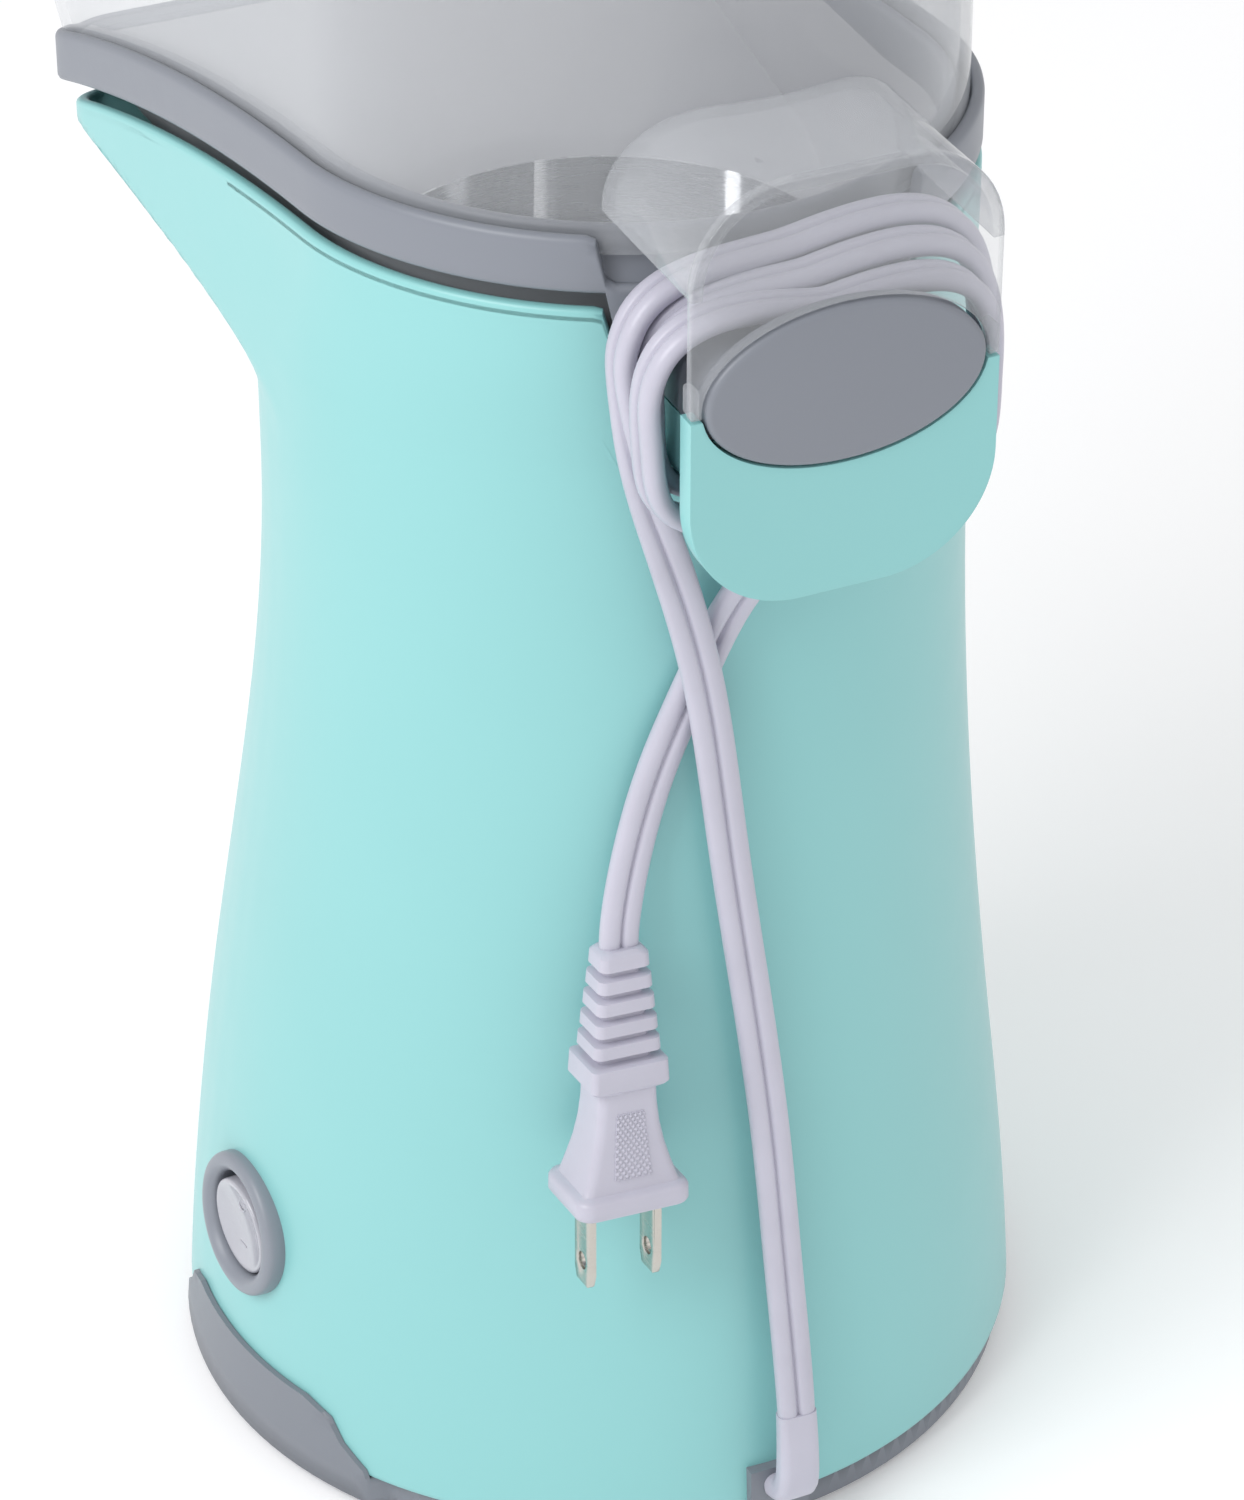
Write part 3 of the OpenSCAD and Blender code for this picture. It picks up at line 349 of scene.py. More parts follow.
def join(name, pieces):
    deselect()
    for piece in pieces:
        piece.select_set(True)
    bpy.context.view_layer.objects.active = pieces[0]
    bpy.ops.object.join()
    piece = bpy.context.object
    piece.name = piece.data.name = name
    return piece


def block(name, low, high, radius, segments=3):
    """A rounded block between two corners, in millimetres."""
    deselect()
    middle = [(a + b) / 2 * MM for a, b in zip(low, high)]
    bpy.ops.mesh.primitive_cube_add(size=1.0, location=middle)
    piece = bpy.context.object
    piece.name = piece.data.name = name
    piece.scale = [(b - a) * MM for a, b in zip(low, high)]
    settle(piece)
    edit(piece, lambda: bpy.ops.mesh.bevel(offset=radius * MM, segments=segments, affect="EDGES"))
    smooth_shade(piece, 40.0)
    return piece


def node_copy(node, name, degrees=35.0):
    """A smooth copy of a CAD node's mesh, with its loose triangles merged."""
    source = frame["nodes"][node]
    piece = bpy.data.objects.new(name, source.data.copy())
    bpy.context.scene.collection.objects.link(piece)
    tidy(piece, outwards=False, gap=0.000004)
    smooth_shade(piece, degrees)
    return piece


def own(piece, body, nodes, material):
    """Gives a finished piece its finish, its body and the nodes it stands for."""
    paint(piece, material)
    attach(piece, body)
    if nodes:
        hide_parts(*nodes)
    return piece


# --- Shapes that the CAD model follows, in millimetres ------------------------------------------

BASE_R, WAIST_R, WAIST_Z = 80.5, 62.6, 200.0
RIM_Z, RIM_DROP, LIP_REACH, LIP_HALF = 272.0, 30.0, 112.0, 65.5
BELLY_LEAN, WAIST_LEAN = 2.5, 5.0
BAND_H, BAND_GAP, RIM_W = 10.0, 3.0, 7.0
SKIRT_Z, SHOULDER = 7.2, 96.0
CHAMBER_R, CHAMBER_TOP, CORE_Y = 45.0, 229.0, 1.5
SEAM_Z, OVAL_Z, OVAL_A, OVAL_B = 248.0, 255.5, 25.0, 14.2
POST_HALF, FLANGE_Y, REAR_Y, FLANGE_HALF = 23.0, 91.0, 95.0, 27.5
COVER_TOP, COVER_DOME, MOUTH, CUP_R = 392.0, 322.0, 128.0, 43.0


def clamp(t, low=0.0, high=1.0):
    return min(high, max(low, t))


def smooth(t):
    c = clamp(t)
    return c * c * (3 - 2 * c)


def mix(a, b, t):
    return a + (b - a) * t


def body_r(z):
    t = clamp((WAIST_Z - z) / (WAIST_Z - SKIRT_Z))
    return mix(WAIST_R, BASE_R, 0.7 * smooth(t) + 0.3 * t * t)


def body_y(z):
    return mix(-BELLY_LEAN, WAIST_LEAN, smooth((z - 60) / (WAIST_Z - 65)))


def rim_top(y):
    return RIM_Z - RIM_DROP * max(0.0, (72 - y) / (72 + LIP_REACH - 7)) ** 2.2


def spout_t(z):
    return clamp((z - WAIST_Z - 5) / (RIM_Z - RIM_DROP - 12 - WAIST_Z - 5))


def arc(x, y, r, a0, a1, n):
    return [(x + r * math.cos(math.radians(mix(a0, a1, i / n))),
             y + r * math.sin(math.radians(mix(a0, a1, i / n)))) for i in range(n + 1)]


def half_outline(wf, wr, reach, yc, rc):
    """Right half of an outline, from the front middle to the rear middle."""
    c = min(rc, wf - 1)
    ys = max(-SHOULDER, -reach + c + 0.8)
    return [(0.0, -reach)] + arc(wf - c, -reach + c, c, -90, -2, 14) + [(wf, ys)] + arc(0, yc, wr, 3, 90, 40)


def section_sizes(z, d, reach):
    t, r, yc = spout_t(z), body_r(z), body_y(z)
    s = smooth((z - 225) / 25)
    wr, wf = mix(r, min(r, WAIST_R) - 1.6, s), mix(r, LIP_HALF, t ** 4)
    return (wf - d, wr - d, mix(r - yc, reach, t ** 5) - d, mix(yc, yc + 4.5, s),
            mix(r, 15.0, t ** 4) - 0.8 * d)


def cover_sizes(z, d):
    t = clamp((z - COVER_DOME) / (COVER_TOP - COVER_DOME))
    k = math.sqrt(1 - t * t)
    return (mix(46.0, LIP_HALF - 2.5, k) - d, mix(50.0, WAIST_R - 4.1, k) - d,
            mix(49.0, MOUTH + 8, k ** 1.3) - d, mix(3.0, WAIST_LEAN + 4.5, k), mix(43.0, 15.0, k) - 0.8 * d)


def liner_half_width(z, y):
    """Half width of the chute at a height, at a place along Y; below zero outside it."""
    t = max(0.0, (z - CHAMBER_TOP) / (RIM_Z - 8 - CHAMBER_TOP))
    s, r = smooth(t ** 0.7), CHAMBER_R - 0.5
    wr, wf = mix(r, WAIST_R - 1.6 - RIM_W, s), mix(r, LIP_HALF - RIM_W, smooth(t * 3.2))
    reach = mix(r - CORE_Y, 170.0, min(1.0, t * 2.65) ** 2.5)
    yc, c = mix(CORE_Y, WAIST_LEAN + 4.5, s), min(mix(r, 12.0, smooth(t * 3)), wf - 1)
    y1, ys = yc + wr * 0.0523, max(-SHOULDER, -reach + c + 0.8)
    if y > yc + wr or y < -reach:
        return -1.0
    if y >= y1:
        return math.sqrt(wr * wr - (y - yc) ** 2)
    if y >= ys:
        return mix(wf, wr, (y - ys) / (y1 - ys))
    if y >= -reach + c:
        return wf
    return wf - c + math.sqrt(max(0.0, c * c - (-reach + c - y) ** 2))


def liner_z(x, y):
    """Height of the chute's inner face over a place in plan."""
    low, high = CHAMBER_TOP, RIM_Z + 4
    for _ in range(18):
        z = (low + high) / 2
        if abs(x) <= liner_half_width(z, y):
            high = z
        else:
            low = z
    return high


def even(points, n):
    """n + 1 points evenly along a line of points."""
    p = np.array(points, float)
    s = np.concatenate([[0.0], np.cumsum(np.linalg.norm(np.diff(p, axis=0), axis=1))])
    at = np.linspace(0.0, s[-1], n + 1)
    return np.stack([np.interp(at, s, p[:, k]) for k in range(p.shape[1])], axis=1)


def full_ring(half, n):
    """Closed ring of 2 n points from the front middle round to the right, with its shoulder eased."""
    right = even(half, n)
    left = right[1:-1][::-1] * (-1, 1)
    ring = np.concatenate([right, left])
    for step in (0.5, -0.52) * 8:
        ring = ring + step * ((np.roll(ring, 1, axis=0) + np.roll(ring, -1, axis=0)) / 2 - ring)
    return ring


class Rings:
    """Rings of one loft at close heights, read at any height and column."""

    def __init__(self, sizes, low, high, n, step=1.0):
        self.low, self.n, self.step = low, n, step
        self.table = np.array([full_ring(half_outline(*sizes(z)), n) for z in np.arange(low, high + 2.0, step)])

    def at(self, column, z):
        k = clamp((z - self.low) / self.step, 0.0, len(self.table) - 1.001)
        i = int(k)
        p = self.table[i, column] * (1 - k + i) + self.table[i + 1, column] * (k - i)
        return float(p[0]), float(p[1])

    def on_line(self, column, line, steps=6):
        """Point of a column where it meets a height that depends on its place."""
        z = line(*self.at(column, RIM_Z - 20))
        for _ in range(steps):
            z = line(*self.at(column, z))
        return z


def spline(points, steps):
    """Smooth curve through given points."""
    p = [np.array(q, float) for q in points]
    out = []
    for i in range(len(p) - 1):
        a, b, c, d = p[max(0, i - 1)], p[i], p[i + 1], p[min(len(p) - 1, i + 2)]
        for k in range(steps):
            t = k / steps
            out.append(0.5 * (2 * b + (c - a) * t + (2 * a - 5 * b + 4 * c - d) * t * t
                              + (3 * b - a - 3 * c + d) * t ** 3))
    return np.array(out + [p[-1]])


# --- Cord ------------------------------------------------------------------------------------

CORD_ROUTE = [(-1, 79.5, 12), (-1, 84, 14), (-1, 84.5, 22), (-1, 82.5, 38), (0, 78.5, 64), (1.5, 76, 91),
              (5, 75, 120), (9.5, 74, 152), (13.5, 73.8, 184), (18, 73.2, 205), (24, 74.5, 224), (28.7, 77, 238)]
TAIL_ROUTE = [(-2, 80, 223.5), (4, 76, 213), (9, 71.5, 202), (14, 68.6, 187), (21, 68, 170.5), (25, 67.2, 154),
              (28, 69.4, 144), (28.9, 70.4, 139.5), (29, 70.6, 137.5)]
SLEEVE_POINTS = 16  # points of the line, 1.5 mm apart, that the strain relief covers
# The wound turns: how far round in degrees, how far out from the post, and place along Y.
TURNS = [(12, 7.4, 75.2), (90, 6.4, 71.4), (180, 13.5, 71.6), (270, 3.0, 73.2), (330, 2.4, 75.4), (375, 3.4, 77.2),
         (450, 4.3, 78.5), (540, 11.0, 79.0), (630, 3.0, 80.4), (690, 5.4, 83.0), (735, 7.6, 84.8), (810, 2.5, 85.8),
         (885, 6.6, 86.2), (930, 8.0, 84.4), (955, 8.4, 82.2)]


def coil_points():
    out = []
    angles, outs, ys = zip(*TURNS)
    for turn in range(12, 956, 10):
        d, y = np.interp(turn, angles, outs), np.interp(turn, angles, ys)
        half_w = POST_HALF + 0.4 + d
        top, low = SEAM_Z + 14.7 + 0.95 * d, SEAM_Z - 16.5 - d
        a = math.radians(turn)
        r = ((abs(math.cos(a)) / half_w) ** 4 + (abs(math.sin(a)) / ((top - low) / 2)) ** 4) ** -0.25
        out.append((r * math.cos(a), y, (top + low) / 2 + r * math.sin(a)))
    return out


def cord_line():
    """Points of the whole cord and the way its wide face looks at each."""
    coil = coil_points()
    points = CORD_ROUTE + coil + TAIL_ROUTE
    looks = [(0, 0.3, -1), (0, 0.6, -0.8), (0, 1, 0.0)] + [(0.12, 1, 0)] * 6
    looks += [(0.2, 1, 0), (0.55, 0.8, 0), (0.85, 0.5, 0)]
    looks += [(p[0] / 26, 0.12 if p[2] < 250 else 0.0, (p[2] - 247) / 17) for p in coil]
    looks += [(0.1, 0.2, -1), (0.2, 0.8, -0.5), (0.1, 1, 0)] + [(0.1, 1, 0)] * 4 + [(0.04, 1, 0), (0.04, 1, 0.1)]
    line, face = spline(points, 5), spline(looks, 5)
    for _ in range(6):
        line[1:-1] += 0.25 * (line[:-2] + line[2:] - 2 * line[1:-1])
    s = np.concatenate([[0.0], np.cumsum(np.linalg.norm(np.diff(line, axis=0), axis=1))])
    at = np.linspace(0.0, s[-1], int(s[-1] / 1.5))
    return (np.stack([np.interp(at, s, line[:, k]) for k in range(3)], axis=1),
            np.stack([np.interp(at, s, face[:, k]) for k in range(3)], axis=1))


def frames(line, face):
    """Width and thickness directions along a line."""
    ahead = np.gradient(line, axis=0)
    ahead /= np.linalg.norm(ahead, axis=1)[:, None]
    out = face - (face * ahead).sum(axis=1)[:, None] * ahead
    for _ in range(4):
        out[1:-1] = (out[:-2] + 2 * out[1:-1] + out[2:]) / 4
    out -= (out * ahead).sum(axis=1)[:, None] * ahead
    out /= np.linalg.norm(out, axis=1)[:, None]
    return np.cross(ahead, out), out


def twin_profile(width, thick, groove):
    """Section of a flat twin cord: two round edges and a groove on each wide face."""
    flat, r = (width - thick) / 2, thick / 2
    face = [(x * flat, r - groove * math.exp(-(x * flat / 0.42) ** 2)) for x in (0.75, 0.4, 0.22, 0.1, 0.0)]
    face += [(-x, y) for x, y in face[-2::-1]]
    left = [(x - flat, y) for x, y in arc(0, 0, r, 90, 270, 8)]
    return face + left + [(-x, -y) for x, y in face] + [(-x, -y) for x, y in left]


def close_ends(piece, gap=0.000004):
    """Merges the seam of a tube, fills both ends and turns its faces outwards."""
    def close():
        bpy.ops.mesh.remove_doubles(threshold=gap)
        bpy.ops.mesh.fill_holes(sides=0)
        bpy.ops.mesh.normals_make_consistent(inside=False)
    edit(piece, close)


def sweep(name, line, wide, thick, profile):
    """Tube with a profile along a line; profile(v) gives the points at a share of the way."""
    m, n = len(line) - 1, len(profile(0.0))

    def place(u, v):
        i = round(v * m)
        a, b = profile(v)[round(u * n) % n]
        return line[i] + wide[i] * a + thick[i] * b
    piece = patch(name, n, m, place)
    close_ends(piece)
    smooth_shade(piece, 60.0)
    return piece


PLUG = (Matrix.Translation((29 * MM, 70.6 * MM, 138 * MM)) @ Matrix.Rotation(math.radians(-3.6), 4, "Y")
        @ Matrix.Rotation(math.radians(7.6), 4, "X"))


def rounded(hx, hy, r, n=8):
    """Closed rounded rectangle from the middle of its right side."""
    right = arc(hx - r, hy - r, r, 0, 90, n)
    top = right + [(-x, y) for x, y in right[::-1]]
    return top + [(-x, -y) for x, y in top]


def stack(name, rings, heights):
    """Closed solid through a stack of like rings."""
    n, m = len(rings[0]), len(rings) - 1

    def place(u, v):
        x, y = rings[round(v * m)][round(u * n) % n]
        return x, y, heights[round(v * m)]
    piece = patch(name, n, m, place)
    close_ends(piece)
    return piece


def move(piece, matrix):
    piece.matrix_world = matrix
    settle(piece)


class POPCORN_OT_cord(bpy.types.Operator):
    """Builds the flat cord wound round the post, its strain relief and its plug"""
    bl_idname = "popcorn.cord"
    bl_label = "Cord and plug"

    def execute(self, context):
        sizes, colours, _ = settings()
        vinyl = rubbery_cord("cord_lilac_white", colours.cord)
        line, face = cord_line()
        wide, thick = frames(line, face)
        twin = twin_profile(sizes.cord_width * 1000, sizes.cord_thick * 1000, sizes.cord_groove * 1000)
        cord = sweep("cord", line, wide, thick, lambda v: twin)

        # the sleeve that tapers on to the cord where it leaves the base
        def sleeve(v):
            return rounded(mix(4.3, 3.75, v), mix(2.6, 1.95, v), mix(2.2, 1.6, v))
        end = SLEEVE_POINTS
        relief = sweep("cord_strain_relief", line[:end], wide[:end], thick[:end], sleeve)
        plug = self.plug()
        blades = self.blades()
        for piece, nodes in ((cord, ("cord_rise", "cord_coil", "cord_tail")), (relief, ()), (plug, ("plug_body",))):
            own(piece, BODY, nodes, vinyl)
        nickel = metal("blade_nickel", (0.60, 0.57, 0.52), 0.24, (1, 1, 20))
        own(blades, BODY, ("plug_blades",), nickel)
        return {"FINISHED"}

    def plug(self):
        rows = [(0.0, 3.6, 2.6, 1.6), (-0.6, 4.3, 3.2, 1.8)]
        z = -1.0
        for k in range(5):
            grow = k * 0.42
            for dz, out in ((0.0, 0.0), (-2.3, 0.15), (-2.6, -0.35), (-2.75, -1.25), (-3.75, -1.2), (-3.9, -0.2)):
                rows.append((z + dz, 4.6 + grow + out, 3.5 + grow * 0.7 + out, 1.6))
            z -= 4.05
        rows += [(-21.0, 6.6, 5.2, 1.4), (-21.3, 7.3, 5.8, 1.3), (-25.4, 7.5, 6.0, 1.3), (-26.0, 7.0, 5.6, 1.3)]
        for z, t in ((-26.6, 0), (-30, 0.04), (-34, 0.16), (-38, 0.38), (-41.5, 0.66), (-44.2, 0.9), (-45.2, 1.02)):
            rows.append((z, mix(5.6, 9.2, t), mix(4.9, 6.7, t), 1.8))
        rows += [(-45.5, 9.9, 7.4, 2.4), (-45.8, 10.5, 8.0, 2.8), (-46.4, 10.85, 8.35, 3.0), (-48.8, 10.9, 8.4, 3.0),
                 (-49.3, 10.6, 8.1, 2.8), (-49.5, 10.0, 7.5, 2.4)]
        body = stack("plug", [rounded(hx, hy, r) for _, hx, hy, r in rows], [row[0] for row in rows])
        smooth_shade(body, 40.0)
        pads = []
        for side in (1, -1):
            def pad(u, v):
                z = mix(-30.5, -43.0, v)
                t = clamp((-z - 30) / 15.2) ** 1.6
                x = mix(-1, 1, u) * mix(2.7, 3.6, v)
                edge = min(u, 1 - u, v, 1 - v) < 0.001
                relief = abs(math.sin(math.pi * (u * 6 + v * 9))) * abs(math.sin(math.pi * (u * 6 - v * 9)))
                return x, side * (mix(4.9, 6.7, t) + (-0.4 if edge else 0.12 + 0.38 * relief)), z
            piece = patch("plug_grip", 48, 72, pad)
            facing(piece, lambda c, side=side: (0, side, 0))
            smooth_shade(piece, 50.0)
            pads.append(piece)
        plug = join("plug", [body] + pads)
        move(plug, PLUG)
        return plug

    def blades(self):
        """Two flat blades with a hole and a chamfered tip."""
        pair = []
        for side in (-1, 1):
            deselect()
            bpy.ops.mesh.primitive_circle_add(vertices=32, radius=1.6 * MM, fill_type="NOTHING")
            blade = bpy.context.object

            def grow():
                bpy.ops.mesh.extrude_region_move()
            edit(blade, grow)
            outer = [v for v in blade.data.vertices if v.select]
            for point in outer:
                a = math.atan2(point.co.y, point.co.x)
                k = 1 / max(abs(math.cos(a)) / 3.175, abs(math.sin(a)) / 3.175)
                x, y = k * math.cos(a), k * math.sin(a)
                x *= 0.72 if y < -3.17 else 1.0
                y = -4.6 if y < -3.17 else (22.5 if y > 3.17 else y * 1.0)
                point.co = Vector((x, y, 0)) * MM
            modify(blade, "SOLIDIFY", thickness=1.5 * MM, offset=0.0)
            modify(blade, "BEVEL", width=0.25 * MM, segments=2, angle_limit=math.radians(40))
            turn = Matrix(((0, 0, 1, side * 6.35 * MM), (1, 0, 0, 0), (0, 1, 0, -61.4 * MM), (0, 0, 0, 1)))
            move(blade, PLUG @ turn)
            tidy(blade)
            smooth_shade(blade, 35.0)
            pair.append(blade)
        return join("blades", pair)


# --- Stage -------------------------------------------------------------------------------------

def softbox(name, place, aim, size, power):
    light = bpy.data.lights.new(name, "AREA")
    light.shape, light.size, light.size_y, light.energy = "RECTANGLE", size[0], size[1], power
    lamp = bpy.data.objects.new(name, light)
    bpy.context.scene.collection.objects.link(lamp)
    lamp.location = place
    lamp.rotation_euler = (Vector(aim) - Vector(place)).to_track_quat("-Z", "Y").to_euler()
    return lamp


class POPCORN_OT_stage(bpy.types.Operator):
    """Sets the floor, the softboxes and the camera"""
    bl_idname = "popcorn.stage"
    bl_label = "Stage"

    def execute(self, context):
        _, colours, studio = settings()
        deselect()
        bpy.ops.mesh.primitive_plane_add(size=12.0)
        floor = bpy.context.object
        floor.name = "floor"
        s = Shader("floor")
        cloud = s.noise(s.place(), 3.0, 2.0)
        s.set(base_color=s.blend(cloud, colours.floor, scaled(colours.floor, 1.01)), roughness=0.9,
              emission_color=(1.0, 1.0, 1.0), emission_strength=0.13)
        paint(floor, s.material)
        world = bpy.data.worlds.new("studio")
        world.use_nodes = True
        world.node_tree.nodes["Background"].inputs[0].default_value = (1.0, 1.0, 1.0, 1.0)
        world.node_tree.nodes["Background"].inputs[1].default_value = studio.sky
        context.scene.world = world
        softbox("key", (1.15, 0.35, 1.25), (0.0, 0.0, 0.15), (0.9, 0.9), studio.key)
        softbox("fill", (-1.2, 1.2, 0.9), (0.0, 0.0, 0.15), (1.2, 1.0), studio.fill)
        camera = bpy.data.objects.new("camera", bpy.data.cameras.new("camera"))
        context.scene.collection.objects.link(camera)
        back, aim = Vector((0.3447, 0.7585, 0.5531)).normalized(), Vector((0.0, 0.00815, 0.13267))
        camera.location = aim + back
        camera.rotation_euler = back.to_track_quat("Z", "Y").to_euler()
        camera.data.lens, camera.data.sensor_width = studio.lens, 36.0
        context.scene.camera = camera
        context.scene.view_settings.view_transform = "Standard"
        return {"FINISHED"}


# --- Housing -----------------------------------------------------------------------------------

COLUMNS = 170
OUTER = Rings(lambda z: section_sizes(z, 0.0, LIP_REACH - 10), 5.0, 266.0, COLUMNS, 0.5)


def edge_line(x, y):
    """Height of the housing's top edge over a place in plan."""
    high = rim_top(y) - BAND_H - BAND_GAP
    return mix(high, SEAM_Z, smooth((29.0 - abs(x)) / 3.4)) if y > 30 else high


def inward(rings, column, z, d):
    """A point of a ring moved towards its inside."""
    n = 2 * rings.n
    a, b = rings.at((column - 1) % n, z), rings.at((column + 1) % n, z)
    x, y = rings.at(column, z)
    tx, ty = b[0] - a[0], b[1] - a[1]
    size = math.hypot(tx, ty) or 1.0
    return x - ty / size * d, y + tx / size * d


def crowded(share):
    """Shares of the height that crowd towards the top, where the spout's floor curves."""
    return 1 - (1 - share) ** 1.6


def housing_skin(wall, edge):
    """Outer and inner face of the housing, closed over the top edge and the foot."""
    rows = [(0.0, 0.0, 0.7), (0.0, 0.0, 1.5)] + [(crowded(k / 84), 0.0, 0.0) for k in range(1, 82)]
    rows += [(1.0, 0.0, -2.0), (1.0, 0.0, -edge)]
    rows += [(1.0, edge * (1 - math.cos(a)), -edge * (1 - math.sin(a))) for a in (0.5, 1.05, 1.57)]
    rows += [(1.0, wall - edge * (1 - math.cos(a)), -edge * (1 - math.sin(a))) for a in (1.57, 1.05, 0.5, 0.0)]
    rows += [(crowded(k / 48), wall, 0.0) for k in range(46, 0, -1)]
    rows += [(0.0, wall, 0.7), (0.0, wall - 0.6, 0.0), (0.0, 0.6, 0.0)]
    n = 2 * COLUMNS
    tops = [OUTER.on_line(c, edge_line) for c in range(n)]

    def place(u, v):
        column, row = round(u * n) % n, rows[round(v * len(rows)) % len(rows)]
        z = mix(SKIRT_Z, tops[column], row[0]) + row[2]
        x, y = inward(OUTER, column, z, row[1])
        return x, y, z
    piece = patch("housing_skin", n, len(rows), place)
    tidy(piece)
    smooth_shade(piece, 50.0)
    return piece


def switch_frame():
    """The switch's own axes on the wall: local Z points outwards."""
    r, az = body_r(45.5), math.radians(84)
    tilt = math.atan((body_r(37.5) - body_r(53.5)) / 16)
    return (Matrix.Translation(Vector((r * math.sin(az), body_y(45.5) + r * math.cos(az), 45.5)) * MM)
            @ Matrix.Rotation(math.pi / 2 - az, 4, "Z") @ Matrix.Rotation(math.pi / 2 - tilt, 4, "Y"))


def cut(piece, tool):
    """Takes a closed tool out of a closed piece."""
    modify(piece, "BOOLEAN", operation="DIFFERENCE", object=tool, solver="EXACT")
    bpy.data.objects.remove(tool)


def drum(name, r, z0, z1, matrix=None, sides=96):
    deselect()
    bpy.ops.mesh.primitive_cylinder_add(vertices=sides, radius=r * MM, depth=(z1 - z0) * MM,
                                        location=(0, 0, (z0 + z1) / 2 * MM))
    piece = bpy.context.object
    piece.name = piece.data.name = name
    settle(piece)
    if matrix is not None:
        move(piece, matrix)
    return piece


def flap(edge):
    """Tongue that keeps the cord on the post, scooped out for the oval cap."""
    low, r = OVAL_Z - OVAL_B - 24.3, 20.0

    def place(u, v):
        x = -FLANGE_HALF * math.cos(math.pi * u)
        past = max(0.0, abs(x) - (FLANGE_HALF - r))
        z0 = low + r - math.sqrt(max(0.0, r * r - past * past))
        inside = 1 - (x / (OVAL_A + 0.5)) ** 2
        z1 = OVAL_Z - (OVAL_B + 0.5) * math.sqrt(inside) if inside > 0 else OVAL_Z
        return x, REAR_Y - 0.05, mix(z0, min(z1, OVAL_Z - 1.5), v)
    piece = patch("flap", 72, 14, place)
    facing(piece, lambda c: (0, 1, 0))
    modify(piece, "SOLIDIFY", thickness=(REAR_Y - FLANGE_Y) * MM, offset=-1.0, use_even_offset=False)
    modify(piece, "BEVEL", width=edge * MM, segments=3, limit_method="ANGLE", angle_limit=math.radians(60))
    smooth_shade(piece, 40.0)
    return piece


class POPCORN_OT_housing(bpy.types.Operator):
    """Builds the aqua housing with its post and flap"""
    bl_idname = "popcorn.housing"
    bl_label = "Housing"

    def execute(self, context):
        sizes, colours, _ = settings()
        edge = sizes.edge_round * 1000
        skin = housing_skin(sizes.housing_wall * 1000, edge)
        cut(skin, drum("hole", 12.9, -12, 10, switch_frame()))
        smooth_shade(skin, 50.0)
        post = post_half("post", 64.0, FLANGE_Y + 0.3, SEAM_Z - 16, SEAM_Z - 0.1, 7.0, False)
        paint_it = moulded("aqua_housing", colours.aqua, 0.36, coat=0.12)
        piece = join("housing_shell", [skin, post, flap(edge)])
        own(piece, BODY, ("housing",), paint_it)
        return {"FINISHED"}


# --- Rim, chute, post cap -------------------------------------------------------------------------

BAND = Rings(lambda z: section_sizes(z, 0.0, LIP_REACH), 205.0, 276.0, COLUMNS)


def at_front(x, y):
    """1 over the open lip, 0 elsewhere."""
    return smooth((60.0 - abs(x)) / 2.4) if y < -100 else 0.0


def at_post(x, y, wide, step):
    return smooth((wide - abs(x)) / step) if y > 30 else 0.0


def band_profile(x, y):
    """Section of the rim over one place: pairs of distance inwards and height."""
    rim, floor = rim_top(y), 239.4
    low, behind = rim - BAND_H, at_post(x, y, 28.0, 2.4)
    bottom = mix(low, SEAM_Z + 0.4, behind)
    lip = mix(mix(rim, RIM_Z - 8.6, at_post(x, y, 30.0, 2.4)), floor + 0.3, at_front(x, y))
    rim = mix(rim, floor, at_front(x, y))
    rows = [(0.9, bottom), (0.3, bottom + 0.25), (0.0, bottom + 0.9)]
    rows += [(0.0, mix(bottom + 0.9, lip - 1.3, k / 5)) for k in range(1, 6)]
    rows += [(0.12, lip - 0.75), (0.4, lip - 0.3), (0.85, lip - 0.05), (1.3, lip), (1.85, lip - 0.05),
             (2.15, lip - 0.35)]
    deep = mix(4.5, 0.15, at_front(x, y))
    rows += [(2.2, min(lip, rim - deep)), (4.8, rim - deep), (4.82, rim - min(1.0, deep)), (5.0, rim - 0.35),
             (5.4, rim - 0.05), (5.9, rim), (6.4, rim - 0.1), (6.8, rim - 0.4), (7.0, rim - 1.0),
             (7.2, rim - 1.9), (7.2, low + 1.0), (6.6, low)]
    rows += [(2.5, low), (2.5, mix(low, bottom, 0.5)), (2.5, bottom)]
    return rows


def rim_band():
    n = 2 * COLUMNS
    profiles = {}
    for c in range(n):
        z = BAND.on_line(c, lambda x, y: rim_top(y) - 4)
        profiles[c] = band_profile(*BAND.at(c, z))
    count = len(profiles[0])

    def place(u, v):
        column = round(u * n) % n
        d, z = profiles[column][round(v * count) % count]
        x, y = inward(BAND, column, z, d)
        return x, y, z
    piece = patch("rim_band", n, count, place)
    tidy(piece)
    smooth_shade(piece, 50.0)
    return piece


